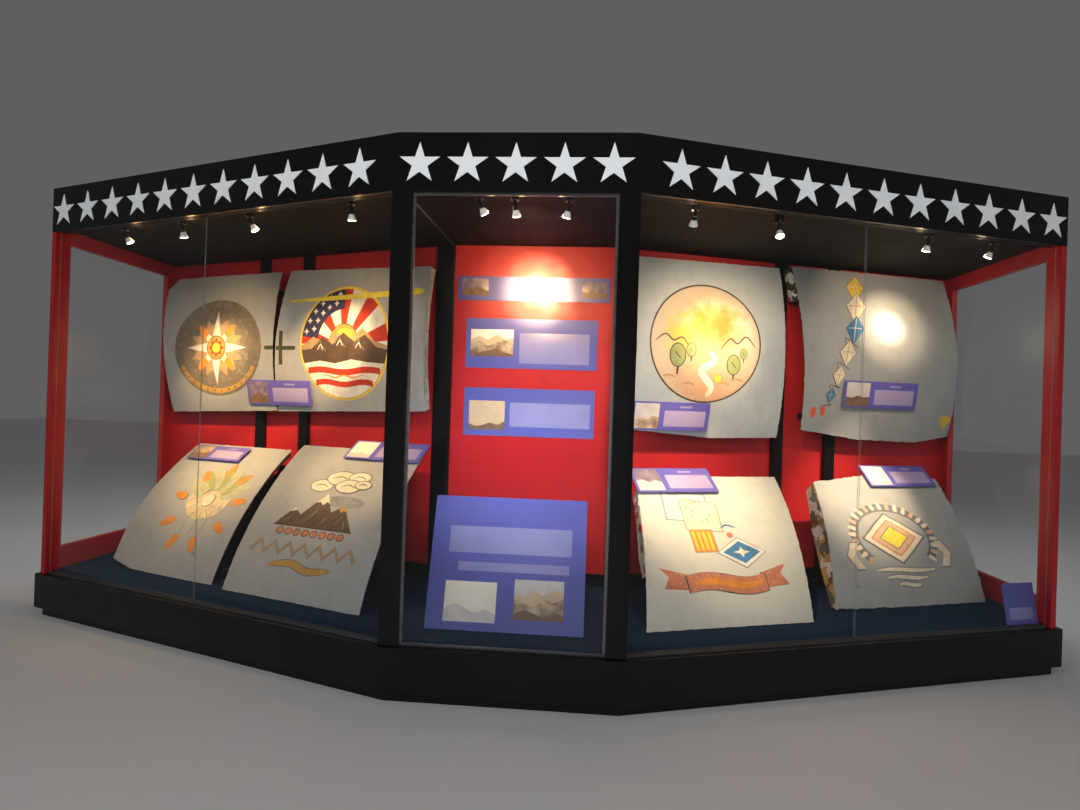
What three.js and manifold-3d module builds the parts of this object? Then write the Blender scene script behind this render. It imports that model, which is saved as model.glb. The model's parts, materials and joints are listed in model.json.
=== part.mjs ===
// Museum display case: three bays of glass over a low black plinth, a star-studded
// fascia, and eight cut-out curved aircraft skins shown inside on uprights and trestles.
// Millimetres, +Z up. Origin: centre of the footprint, on the floor.

import * as THREE from 'three';
import { mergeVertices } from 'three/addons/utils/BufferGeometryUtils.js';
import Module from 'manifold-3d';

const wasm = await Module();
wasm.setup();

// Driving dimensions of the case
const centreWidth = 1219.2;
const bayLength = 2845;
const bayTurn = 19;
const bayDepth = 1220;
const centreDepth = 1280;
const caseHeight = 2930;
const fasciaBottom = 2630;
const ceilingUnderside = 2670;
const plinthTop = 288.5;
const toeHeight = 60;
const toeRecess = 40;
const plinthProud = 17;
const plinthEndProud = 37;
const board = 18;
const wallThickness = 20;
const deckThickness = 12;
const endThickness = 40;
const joint = 0.3;
const through = 1;

// Glass and its tracks
const glass = 8;
const railWall = 2;
const channel = 18;
const trackFront = 22;
const trackDepth = 3 * railWall + 2 * channel;
const trackBack = trackFront + trackDepth;
const lowerFin = 12;
const upperFin = 40;
const paneOverlap = 30;

// Skins
const skinRadius = 2160;
const skinThickness = 5;
const hoopDepth = 55;
const hoopWidth = 30;
const stringerDepth = 22;
const stringerWidth = 6;
const stringerPitch = 190;
const labelThickness = 6;
const labelStandoff = 14;
const spacerWidth = 60;
const spacerHeight = 50;

// Lamps. The head's profile gives its radius and its height from the pivot
const lampSetback = 130;
const canopyRadius = 28;
const canopyThickness = 8;
const holderRadius = 12;
const bridgeGap = 4;
const bridgeThickness = 4;
const earWidth = 10;
const earRadius = 9;
const earThickness = 3;
const tongueThickness = 9;
const tongueWidth = 10;
const tongueGap = 0.4;
const headSides = 16;
const headProfile = [[0, -70], [25, -65], [22, -54], [15, -36], [12, -28], [12, -12], [0, -12]];

// Finishes: colour, roughness, metalness
const finishes = {
  blackPaint: [0x0b0b0c, 0.45, 0],
  redPaint: [0x8c0a12, 0.6, 0],
  carpet: [0x10141f, 1, 0],
  glass: [0xbfd2cc, 0.05, 0],
  trim: [0x9a9c9e, 0.35, 0.8],
  skin: [0x8f8f86, 0.5, 0.4],
  paleSkin: [0xa2a598, 0.5, 0.4],
  sign: [0x4a479c, 0.4, 0],
  lamp: [0xe8e8e2, 0.35, 0],
};

const bayAngle = THREE.MathUtils.degToRad(bayTurn);
const sinA = Math.sin(bayAngle);
const cosA = Math.cos(bayAngle);
const halfCentre = centreWidth / 2;
const endOuter = halfCentre + bayLength * cosA;
const endInner = endOuter - endThickness;
const backOuter = bayDepth + wallThickness;
const deckTop = plinthTop + deckThickness;

// Plan geometry. A side bay is measured by t along its front from the corner and by
// s square to the front, into the case. side is -1 for the left bay, 1 for the right.
const bayPoint = (side, t, s) => [side * (halfCentre + t * cosA - s * sinA), t * sinA + s * cosA];

// Where a line y in the centre bay meets a line s in the side bay
const mitre = (side, y, s) => bayPoint(side, (y - s * cosA) / sinA, s);

// Where a line s in the side bay meets the upright plane at x from the middle
const endPoint = (side, x, s) => bayPoint(side, (x - halfCentre + s * sinA) / cosA, s);

const yFront = -plinthProud;
const yBack = endPoint(1, endOuter + plinthEndProud, backOuter)[1];

const object = new THREE.Group();
object.position.y = -(yFront + yBack) / 2;

const bays = {};
for (const side of [-1, 1]) {
  const bay = new THREE.Group();
  bay.position.x = side * halfCentre;
  bay.rotation.z = side * bayAngle;
  object.add(bay);
  bays[side] = bay;
}

// Solids
function solidOf(geometry) {
  const bare = geometry.index ? geometry.toNonIndexed() : geometry.clone();
  bare.deleteAttribute('normal');
  bare.deleteAttribute('uv');
  const merged = mergeVertices(bare, 1e-3);
  return new wasm.Manifold(new wasm.Mesh({
    numProp: 3,
    vertProperties: new Float32Array(merged.attributes.position.array),
    triVerts: new Uint32Array(merged.index.array),
  }));
}

function geometryOf(solid) {
  const mesh = solid.getMesh();
  const geometry = new THREE.BufferGeometry();
  geometry.setAttribute('position', new THREE.BufferAttribute(mesh.vertProperties, 3));
  geometry.setIndex(new THREE.BufferAttribute(mesh.triVerts, 1));
  geometry.computeVertexNormals();
  return geometry;
}

const join = (solids) => solids.reduce((sum, solid) => sum.add(solid));

const outline = (points) => new THREE.Shape(points.map(([x, y]) => new THREE.Vector2(x, y)));

function extruded(shape, depth) {
  return new THREE.ExtrudeGeometry(shape, { depth, bevelEnabled: false });
}

// Upright prism over a plan outline
const prism = (points, low, high) => solidOf(extruded(outline(points), high - low).translate(0, 0, low));

function box(x0, x1, y0, y1, z0, z1) {
  const geometry = new THREE.BoxGeometry(Math.abs(x1 - x0), y1 - y0, z1 - z0);
  return solidOf(geometry.translate((x0 + x1) / 2, (y0 + y1) / 2, (z0 + z1) / 2));
}

// Solid of a side profile in (y, z), from x0 to x1
function sideProfile(points, x0, x1) {
  const geometry = extruded(outline(points), Math.abs(x1 - x0));
  geometry.rotateX(Math.PI / 2).rotateZ(Math.PI / 2);
  return solidOf(geometry.translate(Math.min(x0, x1), 0, 0));
}

function material(finish) {
  const [color, roughness, metalness] = finishes[finish];
  return new THREE.MeshStandardMaterial({ color, roughness, metalness });
}

function place(name, finish, geometry, parent = object) {
  const mesh = new THREE.Mesh(geometry, material(finish));
  mesh.name = name;
  parent.add(mesh);
  return mesh;
}

const placeSolid = (name, finish, solid, parent) => place(name, finish, geometryOf(solid), parent);

const sideName = (side) => (side < 0 ? 'left' : 'right');

// Plan outlines between a front line and a back line. Anticlockwise for the right bay.
function centreOutline(front, backY, backS, inset = joint / 2) {
  const [frontX, frontY] = mitre(1, front, front);
  const [backX, backLine] = mitre(1, backY, backS);
  return [[-frontX + inset, frontY], [frontX - inset, frontY],
    [backX - inset, backLine], [-backX + inset, backLine]];
}

function sideOutline(side, front, backY, backS, endX, inset = joint / 2) {
  const corners = [mitre(1, front, front), endPoint(1, endX, front),
    endPoint(1, endX, backS), mitre(1, backY, backS)];
  corners[0][0] += inset;
  corners[3][0] += inset;
  const mirrored = corners.map(([x, y]) => [side * x, y]);
  return side < 0 ? mirrored.reverse() : mirrored;
}

// Moves each side of a convex outline inwards by its own distance
function insetOutline(points, distances) {
  const count = points.length;
  const lines = points.map(([x, y], i) => {
    const [nextX, nextY] = points[(i + 1) % count];
    const length = Math.hypot(nextX - x, nextY - y);
    const normal = [-(nextY - y) / length, (nextX - x) / length];
    return [normal, normal[0] * x + normal[1] * y + distances[i]];
  });
  return points.map((_, i) => {
    const [[ax, ay], a] = lines[(i + count - 1) % count];
    const [[bx, by], b] = lines[i];
    const area = ax * by - ay * bx;
    return [(a * by - b * ay) / area, (ax * b - bx * a) / area];
  });
}

// Distances for front, end, back and joint sides, in the order that sideOutline gives them
const bySide = (side, [front, end, back, inner]) => (side < 0
  ? [back, end, front, inner]
  : [front, end, back, inner]);

// Plinth: a top board on aprons, over recessed toe boards, open below
function plinth(points, toeDistances) {
  const wall = toeRecess + board;
  const under = plinthTop - board;
  const inner = insetOutline(points, points.map(() => wall));
  const toe = insetOutline(points, toeDistances);
  const hollow = prism(inner, -through, plinthTop);
  const top = prism(points, under, plinthTop);
  const apron = prism(points, toeHeight, under + through).subtract(hollow);
  const kick = prism(toe, 0, toeHeight + through).subtract(hollow);
  return join([top, apron, kick]);
}

placeSolid('plinth_centre', 'blackPaint',
  plinth(centreOutline(-plinthProud, centreDepth + wallThickness, backOuter), [toeRecess, 0, 0, 0]));

for (const side of [-1, 1]) {
  const points = sideOutline(side, -plinthProud, centreDepth + wallThickness, backOuter,
    endOuter + plinthEndProud);
  placeSolid(`plinth_${sideName(side)}`, 'blackPaint',
    plinth(points, bySide(side, [toeRecess, toeRecess, 0, 0])));
}

// Carpeted deck boards behind the tracks
const deckFront = trackBack + joint;
placeSolid('deck_centre', 'carpet',
  prism(centreOutline(deckFront, centreDepth - joint, bayDepth - joint), plinthTop + joint, deckTop));
for (const side of [-1, 1]) {
  const points = sideOutline(side, deckFront, centreDepth - joint, bayDepth - joint, endInner - joint);
  placeSolid(`deck_${sideName(side)}`, 'carpet', prism(points, plinthTop + joint, deckTop));
}

// Front posts at the two corners, stepped back above for the fascia
const postFace = 79;
const postReturn = 30;
for (const side of [-1, 1]) {
  const section = (front) => {
    const points = [mitre(1, front, front), bayPoint(1, postReturn, front),
      bayPoint(1, postReturn, trackBack), mitre(1, trackBack, trackBack),
      [halfCentre - postFace, trackBack], [halfCentre - postFace, front]];
    const mirrored = points.map(([x, y]) => [side * x, y]);
    return side < 0 ? mirrored.reverse() : mirrored;
  };
  placeSolid(`post_front_${sideName(side)}`, 'blackPaint', join([
    prism(section(0), plinthTop + joint, fasciaBottom - joint),
    prism(section(board + joint), plinthTop + joint, ceilingUnderside - joint),
  ]));
}

// Back walls, from plinth to ceiling
const wallLow = plinthTop + joint;
const wallHigh = ceilingUnderside - joint;
const [wallFrontX, wallFrontY] = mitre(1, centreDepth, bayDepth);
const [wallBackX, wallBackY] = mitre(1, centreDepth + wallThickness, backOuter);
placeSolid('back_wall_centre', 'redPaint', prism([
  [-wallFrontX + joint / 2, wallFrontY], [wallFrontX - joint / 2, wallFrontY],
  [wallBackX - joint / 2, wallBackY], [-wallBackX + joint / 2, wallBackY],
], wallLow, wallHigh));

for (const side of [-1, 1]) {
  const points = [[wallFrontX + joint / 2, wallFrontY], endPoint(1, endOuter, bayDepth),
    endPoint(1, endOuter, backOuter), [wallBackX + joint / 2, wallBackY]];
  const mirrored = points.map(([x, y]) => [side * x, y]);
  placeSolid(`back_wall_${sideName(side)}`, 'redPaint',
    prism(side < 0 ? mirrored.reverse() : mirrored, wallLow, wallHigh));
}

// Back posts: black uprights over the two inner corners of the back walls
const backPostProud = 38;
const backPostCentre = 16;
const backPostReturn = 112;
for (const side of [-1, 1]) {
  const start = (centreDepth - bayDepth * cosA) / sinA;
  const points = [[wallFrontX - backPostCentre, centreDepth - joint],
    [wallFrontX - backPostCentre, centreDepth - backPostProud],
    mitre(1, centreDepth - backPostProud, bayDepth - backPostProud),
    bayPoint(1, start + backPostReturn, bayDepth - backPostProud),
    bayPoint(1, start + backPostReturn, bayDepth - joint),
    mitre(1, centreDepth - joint, bayDepth - joint)];
  const mirrored = points.map(([x, y]) => [side * x, y]);
  placeSolid(`post_back_${sideName(side)}`, 'blackPaint',
    prism(side < 0 ? mirrored.reverse() : mirrored, deckTop + joint, wallHigh));
}

// End walls: a red frame round a fixed window
const stileFront = 120;
const stileBack = 100;
const topRail = 100;
const bottomRail = 150;
for (const side of [-1, 1]) {
  const points = [endPoint(1, endInner, joint), endPoint(1, endOuter, joint),
    endPoint(1, endOuter, bayDepth - joint), endPoint(1, endInner, bayDepth - joint)];
  const mirrored = points.map(([x, y]) => [side * x, y]);
  const frame = prism(side < 0 ? mirrored.reverse() : mirrored, wallLow, wallHigh);
  const windowFront = points[1][1] + stileFront;
  const windowBack = points[3][1] - stileBack;
  const windowLow = deckTop + bottomRail;
  const windowHigh = wallHigh - topRail;
  const opening = box(side * (endInner - through), side * (endOuter + through),
    windowFront, windowBack, windowLow, windowHigh);
  const step = sideOutline(side, -through, board + joint, board + joint, endOuter + through);
  placeSolid(`end_frame_${sideName(side)}`, 'redPaint', frame.subtract(opening)
    .subtract(prism(step, fasciaBottom - joint, ceilingUnderside)));
  const middle = (endInner + endOuter) / 2;
  placeSolid(`end_glass_${sideName(side)}`, 'glass',
    box(side * (middle - glass / 2), side * (middle + glass / 2), windowFront + joint,
      windowBack - joint, windowLow + joint, windowHigh - joint));
}

// Fascia: boards with raised five-pointed stars, and returns along the roof's ends
const starPoints = 5;
const starRadius = 111;
const starInner = starRadius * Math.sin(Math.PI / 10) / Math.sin(3 * Math.PI / 10);
const starPitch = 248;
const starHeight = 2768.6;
const starProud = 3;
const starsInCentre = 5;
const starsInSide = 11;
const firstStar = 245;
const roofTop = ceilingUnderside + board;

function star(x, z) {
  const points = [];
  for (let i = 0; i < 2 * starPoints; i += 1) {
    const angle = Math.PI / 2 + i * Math.PI / starPoints;
    const radius = i % 2 ? starInner : starRadius;
    points.push([x + radius * Math.cos(angle), z + radius * Math.sin(angle)]);
  }
  const geometry = extruded(outline(points), starProud + through).rotateX(Math.PI / 2);
  return solidOf(geometry.translate(0, through, 0));
}

const fasciaCentre = prism(centreOutline(0, board, board), fasciaBottom, caseHeight);
const centreStars = [];
for (let i = 0; i < starsInCentre; i += 1) {
  centreStars.push(star((i - (starsInCentre - 1) / 2) * starPitch, starHeight));
}
placeSolid('fascia_centre', 'blackPaint', join([fasciaCentre, ...centreStars]));

for (const side of [-1, 1]) {
  const front = prism(sideOutline(side, 0, board, board, endOuter), fasciaBottom, caseHeight);
  const [, returnFront] = endPoint(1, endOuter, board / 2);
  const [, returnBack] = endPoint(1, endOuter - board, backOuter);
  const end = box(side * (endOuter - board), side * endOuter, returnFront, returnBack,
    roofTop + joint, caseHeight);
  const turned = [];
  for (let i = 0; i < starsInSide; i += 1) {
    turned.push(star(side * (firstStar + i * starPitch), starHeight));
  }
  const stars = join(turned).rotate([0, 0, side * bayTurn]).translate([side * halfCentre, 0, 0]);
  placeSolid(`fascia_${sideName(side)}`, 'blackPaint', join([front, end, stars]));
}

// Lamps: canopies and holders hang from the ceilings, and each head tilts in its fork.
// Columns: distance along the bay, height of the pivot, turn of the fork, tilt of the head
const lampRows = {
  left: [[400, 2611, 8, 10], [1158, 2606, -60, 30], [1740, 2613, -10, 12], [2285, 2612, -50, 30]],
  centre: [[-205, 2611, -60, 32], [-14, 2606, -30, 16], [274, 2602, 50, 18]],
  right: [[398, 2601, -14, 38], [914, 2586, -20, -22], [1935, 2610, 6, 14], [2424, 2612, 30, 26]],
};
const lamps = Object.entries(lampRows).flatMap(([bay, rows]) => rows.map(
  ([along, pivot, turn, tilt], i) => ({ bay, along, pivot, turn, tilt, name: `lamp_${bay}_${i + 1}` })));
const sideOf = { left: -1, centre: 0, right: 1 };

const radialSides = 14;
const cylinderAt = (radius, low, high) => solidOf(new THREE.CylinderGeometry(radius, radius,
  high - low, radialSides).rotateX(Math.PI / 2).translate(0, 0, (low + high) / 2));

function disc(radius, x0, x1) {
  const geometry = new THREE.CylinderGeometry(radius, radius, x1 - x0, radialSides).rotateZ(Math.PI / 2);
  return solidOf(geometry.translate((x0 + x1) / 2, 0, 0));
}

// Canopy, holder and fork, with the pivot at the origin
function lampMount(pivot) {
  const top = ceilingUnderside + through - pivot;
  const bridge = earRadius + bridgeGap;
  const reach = tongueThickness / 2 + tongueGap + earThickness;
  const parts = [
    cylinderAt(canopyRadius, top - through - canopyThickness, top),
    cylinderAt(holderRadius, bridge + bridgeThickness - through, top),
    box(-reach, reach, -earWidth / 2, earWidth / 2, bridge, bridge + bridgeThickness),
  ];
  for (const ear of [-1, 1]) {
    const near = ear * (reach - earThickness);
    const far = ear * reach;
    parts.push(disc(earRadius, Math.min(near, far), Math.max(near, far)));
    parts.push(box(near, far, -earWidth / 2, earWidth / 2, 0, bridge + through));
  }
  return join(parts);
}

// Head: a tongue, a socket and a bell-shaped reflector lamp, hanging straight down
function lampHead() {
  const profile = headProfile.map(([radius, z]) => new THREE.Vector2(radius, z));
  const bell = solidOf(new THREE.LatheGeometry(profile, headSides).rotateX(Math.PI / 2));
  const tongue = disc(earRadius - 2 * tongueGap, -tongueThickness / 2, tongueThickness / 2);
  const [, bellTop] = headProfile.at(-1);
  const neck = box(-tongueThickness / 2, tongueThickness / 2, -tongueWidth / 2, tongueWidth / 2,
    bellTop - through, 0);
  return join([bell, tongue, neck]);
}

function ceiling(name, points, bay) {
  const side = sideOf[bay];
  let solid = prism(points, ceilingUnderside, roofTop);
  for (const { along, pivot, turn } of lamps.filter((lamp) => lamp.bay === bay)) {
    const [x, y] = side ? bayPoint(side, along, lampSetback) : [along, lampSetback];
    const mount = lampMount(pivot).rotate([0, 0, turn + side * bayTurn]);
    solid = solid.add(mount.translate([x, y, pivot]));
  }
  placeSolid(name, 'blackPaint', solid);
}

const ceilingFront = board + joint;
ceiling('ceiling_centre', centreOutline(ceilingFront, centreDepth + wallThickness, backOuter), 'centre');
for (const side of [-1, 1]) {
  ceiling(`ceiling_${sideName(side)}`, sideOutline(side, ceilingFront,
    centreDepth + wallThickness, backOuter, endOuter), sideName(side));
}

const headSolid = lampHead();
for (const { bay, along, pivot, turn, tilt, name } of lamps) {
  const side = sideOf[bay];
  const fork = new THREE.Group();
  fork.position.set(side ? side * along : along, lampSetback, pivot);
  fork.rotation.z = THREE.MathUtils.degToRad(turn);
  (side ? bays[side] : object).add(fork);
  const head = place(name, 'lamp', geometryOf(headSolid), fork);
  head.rotation.x = THREE.MathUtils.degToRad(tilt);
}

// Tracks: twin channels above and below the sliding glass, joined by a jamb on the front post,
// and a plain ring round the fixed pane
const trackLow = plinthTop + joint;
const trackHigh = ceilingUnderside - joint;
const trackClearance = 2;
const sideTrackStart = postReturn + 1;
const sideTrackEnd = Math.floor((endInner - halfCentre) / cosA) - trackClearance;

// Channel pair as one profile in (y, z), open upwards from a floor at z = 0
function twinChannel(x0, x1, height, z, turnedOver) {
  const points = [[trackFront, 0], [trackBack, 0]];
  for (let fin = 2; fin >= 0; fin -= 1) {
    const front = trackFront + fin * (channel + railWall);
    if (fin < 2) points.push([front + railWall, railWall]);
    points.push([front + railWall, height], [front, height]);
    if (fin > 0) points.push([front, railWall]);
  }
  const profile = points.map(([y, up]) => [y, z + (turnedOver ? -up : up)]);
  return sideProfile(turnedOver ? profile.reverse() : profile, x0, x1);
}

for (const side of [-1, 1]) {
  const post = side * sideTrackStart;
  const start = post + side * through;
  const end = side * sideTrackEnd;
  placeSolid(`track_${sideName(side)}`, 'trim', join([
    twinChannel(start, end, lowerFin, trackLow, false),
    twinChannel(start, end, upperFin, trackHigh, true),
    box(post, post + side * railWall, trackFront, trackBack, trackLow, trackHigh),
  ]), bays[side]);
}

const fixedTrim = 14;
const fixedClearance = 2;
const fixedEdge = halfCentre - postFace - joint;
const fixedFront = trackFront;
const fixedBack = trackFront + glass + 2 * railWall + fixedClearance;
const fixedRing = box(-fixedEdge, fixedEdge, fixedFront, fixedBack, trackLow, trackHigh);
const fixedHole = box(-fixedEdge + fixedTrim, fixedEdge - fixedTrim, fixedFront - through,
  fixedBack + through, trackLow + fixedTrim, trackHigh - fixedTrim - upperFin);
placeSolid('track_centre', 'trim', fixedRing.subtract(fixedHole));

const paneMiddle = (fixedFront + fixedBack) / 2;
placeSolid('pane_centre', 'glass', box(-fixedEdge + fixedTrim + joint, fixedEdge - fixedTrim - joint,
  paneMiddle - glass / 2, paneMiddle + glass / 2, trackLow + fixedTrim + joint,
  trackHigh - fixedTrim - upperFin - joint));

// Sliding panes: the inner one runs in the back channel, the outer one in the front channel
const paneStart = sideTrackStart + railWall + joint;
const paneEnd = sideTrackEnd - joint;
const paneLength = (paneEnd - paneStart + paneOverlap) / 2;
const paneLow = trackLow + railWall + joint;
const paneHeadroom = 10;
const paneHigh = trackHigh - railWall - paneHeadroom;
for (const side of [-1, 1]) {
  const slots = [['inner', paneStart, 1], ['outer', paneEnd - paneLength, 0]];
  for (const [slotName, start, row] of slots) {
    const front = trackFront + railWall + row * (channel + railWall) + (channel - glass) / 2;
    placeSolid(`pane_${sideName(side)}_${slotName}`, 'glass',
      box(side * start, side * (start + paneLength), front, front + glass, paneLow, paneHigh),
      bays[side]);
  }
}

// Skins: curved sheets with stringers and hoops behind. Shares run up the chord from its foot.
// foot, head: the chord's ends as (s, z). edge: the outline as (t, share). hoops: t of each hoop.
// label: from t, to t, share, height. pad: an insulated cut edge, from and to as (t, share),
// its width, and its depth behind the sheet as (share, depth)
const skins = [
  { name: 'skin_upper_left_outer', side: -1, finish: 'skin', foot: [1120, 1400], head: [1120, 2535],
    edge: [[1878, 0.04], [3052, 0], [3116, 0.58], [3134, 0.916], [3026, 1], [1883, 1]],
    hoops: [1960, 2480, 2990] },
  { name: 'skin_upper_left_inner', side: -1, finish: 'skin', foot: [1120, 1440], head: [1120, 2540],
    edge: [[505, 0.04], [1876, 0], [1858, 0.5], [1790, 1], [495, 0.965]],
    hoops: [580, 1180, 1730], label: [1505, 2150, 0.137, 195],
    pad: { from: [505, 0.045], to: [495, 0.96], width: 40, depths: [[0.045, 54], [0.96, 50]] } },
  { name: 'skin_upper_right_inner', side: 1, finish: 'skin', foot: [1120, 1360], head: [1120, 2610],
    edge: [[468, 0.04], [1100, 0], [1624, 0.01], [1616, 0.5], [1610, 1], [472, 0.99]],
    hoops: [540, 1030, 1540], label: [466, 1042, 0.122, 200] },
  { name: 'skin_upper_right_outer', side: 1, finish: 'skin', foot: [1120, 1360], head: [1120, 2635],
    edge: [[1815, 0.06], [2329, 0.01], [2867, 0], [3158, 0.04], [3148, 0.55], [3087, 1], [1710, 1],
      [1772, 0.5]],
    hoops: [1900, 2450, 3020], label: [2120, 2775, 0.28, 200],
    pad: { from: [1737, 0.8], to: [1712, 0.985], width: 50, depths: [[0.8, 60], [0.985, 45]] } },
  { name: 'skin_lower_left_outer', side: -1, finish: 'skin', foot: [322, 304], head: [1071, 1149],
    edge: [[1606, 0], [2100, 0], [2400, 0.006], [2616, 0.047], [2654, 0.25], [2674, 0.52], [2662, 1],
      [1674, 1]],
    hoops: [1720, 2150, 2580], label: [2045, 2595, 0.893, 160] },
  { name: 'skin_lower_left_inner', side: -1, finish: 'skin', foot: [286, 304], head: [1019, 1197],
    edge: [[377, 0], [1465, 0], [1508, 1], [440, 1]],
    hoops: [500, 950, 1400], label: [430, 1050, 0.978, 195] },
  { name: 'skin_lower_right_inner', side: 1, finish: 'paleSkin', foot: [317, 304], head: [1027, 1096],
    edge: [[280, 0], [1366, 0], [1556, 1], [484, 1]],
    hoops: [560, 930, 1330], label: [450, 1035, 0.948, 235],
    pad: { from: [342, 0.3], to: [464, 0.9], width: 50,
      depths: [[0.3, 55], [0.45, 105], [0.9, 95]] } },
  { name: 'skin_lower_right_outer', side: 1, finish: 'paleSkin', foot: [485, 304], head: [1034, 1110],
    edge: [[1660, 0.01], [2260, 0], [2868, 0.005], [2952, 0.965], [2330, 1], [1850, 0.935]],
    hoops: [1960, 2400, 2810], label: [2308, 2895, 0.98, 200],
    pad: { from: [1662, 0.02], to: [1849, 0.93], width: 60,
      depths: [[0.02, 45], [0.3, 120], [0.6, 155], [0.93, 105]] } },
];

const arcSteps = 14;
const chordOf = ({ foot, head }) => Math.hypot(head[0] - foot[0], head[1] - foot[1]);
const leanOf = ({ foot, head }) => Math.atan2(head[0] - foot[0], head[1] - foot[1]);
const halfArc = (chord) => Math.asin(chord / 2 / skinRadius);

// A point behind the outer surface, in the chord's own frame: y into the case, z along the
// chord from its middle
function onArc(chord, share, depth) {
  const angle = halfArc(chord) * (2 * share - 1);
  const radius = skinRadius - depth;
  return [skinRadius * Math.cos(halfArc(chord)) - radius * Math.cos(angle), radius * Math.sin(angle)];
}

// Curved band between two depths behind the outer surface
function arcBand(chord, nearDepth, farDepth, shareLow = 0, shareHigh = 1) {
  const steps = Math.max(1, Math.round(arcSteps * (shareHigh - shareLow)));
  const arc = (depth) => Array.from({ length: steps + 1 }, (_, i) => {
    const share = shareLow + (shareHigh - shareLow) * i / steps;
    return onArc(chord, share, depth);
  });
  return [...arc(nearDepth), ...arc(farDepth).reverse()].reverse();
}

// A solid in a skin's chord frame, carried into the frame of its bay
function leaned(solid, skin) {
  const { foot, head } = skin;
  const lean = THREE.MathUtils.radToDeg(leanOf(skin));
  return solid.rotate([-lean, 0, 0]).translate([0, (foot[0] + head[0]) / 2, (foot[1] + head[1]) / 2]);
}

// Flat label plate on a spacer block, tangent to the sheet
function labelSolid({ side, label }, chord) {
  const [from, to, share, height] = label;
  const angle = halfArc(chord) * (2 * share - 1);
  const centreY = skinRadius * Math.cos(halfArc(chord));
  const plate = box(side * from, side * to, -labelStandoff - labelThickness, -labelStandoff,
    -height / 2, height / 2);
  const middle = side * (from + to) / 2;
  const spacer = box(middle - spacerWidth / 2, middle + spacerWidth / 2, -labelStandoff - through,
    skinThickness - through, -spacerHeight / 2, spacerHeight / 2);
  return plate.add(spacer).translate([0, -skinRadius, 0])
    .rotate([-THREE.MathUtils.radToDeg(angle), 0, 0]).translate([0, centreY, 0]);
}

// Insulation left on a cut edge: it fills the space behind the sheet to the depths of the table
function padSolid({ side, pad }, chord) {
  const [low] = pad.depths[0];
  const [high] = pad.depths.at(-1);
  const steps = Math.round(arcSteps * (high - low));
  const front = Array.from({ length: steps + 1 }, (_, i) => onArc(chord,
    low + (high - low) * i / steps, skinThickness - through));
  const back = pad.depths.map(([share, depth]) => onArc(chord, share, depth)).reverse();
  const [fromT, fromShare] = pad.from;
  const [toT, toShare] = pad.to;
  const strip = [[fromT, fromShare], [fromT + pad.width, fromShare], [toT + pad.width, toShare],
    [toT, toShare]];
  const along = strip.map(([t]) => side * t);
  const body = sideProfile([...front, ...back], Math.min(...along), Math.max(...along));
  return body.intersect(skinCutter(side, strip, chord));
}

// Prism that cuts an outline of (t, share) through a skin, square to its chord
function skinCutter(side, edge, chord) {
  const cutter = outline(edge.map(([t, share]) => [side * t, (share - 0.5) * chord]));
  return solidOf(extruded(cutter, chord).rotateX(Math.PI / 2).translate(0, chord / 2, 0));
}

function skinSolid(skin) {
  const chord = chordOf(skin);
  const along = skin.edge.map(([t]) => t);
  const start = Math.min(...along);
  const end = Math.max(...along);
  const span = (near, far, depthNear, depthFar, low, high) => sideProfile(
    arcBand(chord, depthNear, depthFar, low, high), skin.side * near, skin.side * far);
  const parts = [span(start, end, 0, skinThickness)];
  const stringers = Math.floor(chord / stringerPitch);
  const half = stringerWidth / chord / 2;
  for (let i = 0; i < stringers; i += 1) {
    const share = (i + 0.5) / stringers;
    parts.push(span(start, end, skinThickness - through, stringerDepth, share - half, share + half));
  }
  for (const hoop of skin.hoops) {
    parts.push(span(hoop - hoopWidth / 2, hoop + hoopWidth / 2, skinThickness - through, hoopDepth));
  }
  let solid = join(parts).intersect(skinCutter(skin.side, skin.edge, chord));
  if (skin.label) solid = solid.add(labelSolid(skin, chord));
  if (skin.pad) solid = solid.add(padSolid(skin, chord));
  const below = box(-bayLength, bayLength, 0, bayDepth, 0, deckTop + joint);
  return leaned(solid, skin).subtract(below);
}

for (const skin of skins) placeSolid(skin.name, skin.finish, skinSolid(skin), bays[skin.side]);

// Frames on the back walls: two uprights, a skirting, and two ledgers behind each upper skin
const uprights = [1685, 2140];
const uprightWidth = 86;
const uprightDepth = 38;
const skirtingHeight = 90;
const skirtingThickness = 12;
const ledgerHeight = 45;
const ledgerShares = [0.14, 0.86];
const facetDrop = 0.4;
const wallFace = bayDepth - joint;
const cornerStart = (centreDepth - bayDepth * cosA) / sinA + backPostReturn + joint;
const cornerEnd = (endInner - halfCentre + bayDepth * sinA) / cosA - endThickness / 2;

// Front face of a ledger: just behind the hoops at its lower and upper edges
function ledgerFront({ foot, head }, low) {
  const chord = head[1] - foot[1];
  const centreY = skinRadius * Math.cos(halfArc(chord));
  const middle = (foot[1] + head[1]) / 2;
  const depths = [low, low + ledgerHeight].map((z) => {
    const reach = skinRadius - hoopDepth;
    return centreY - Math.sqrt(reach ** 2 - (z - middle) ** 2);
  });
  return foot[0] + Math.max(...depths) + facetDrop + joint;
}

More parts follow.
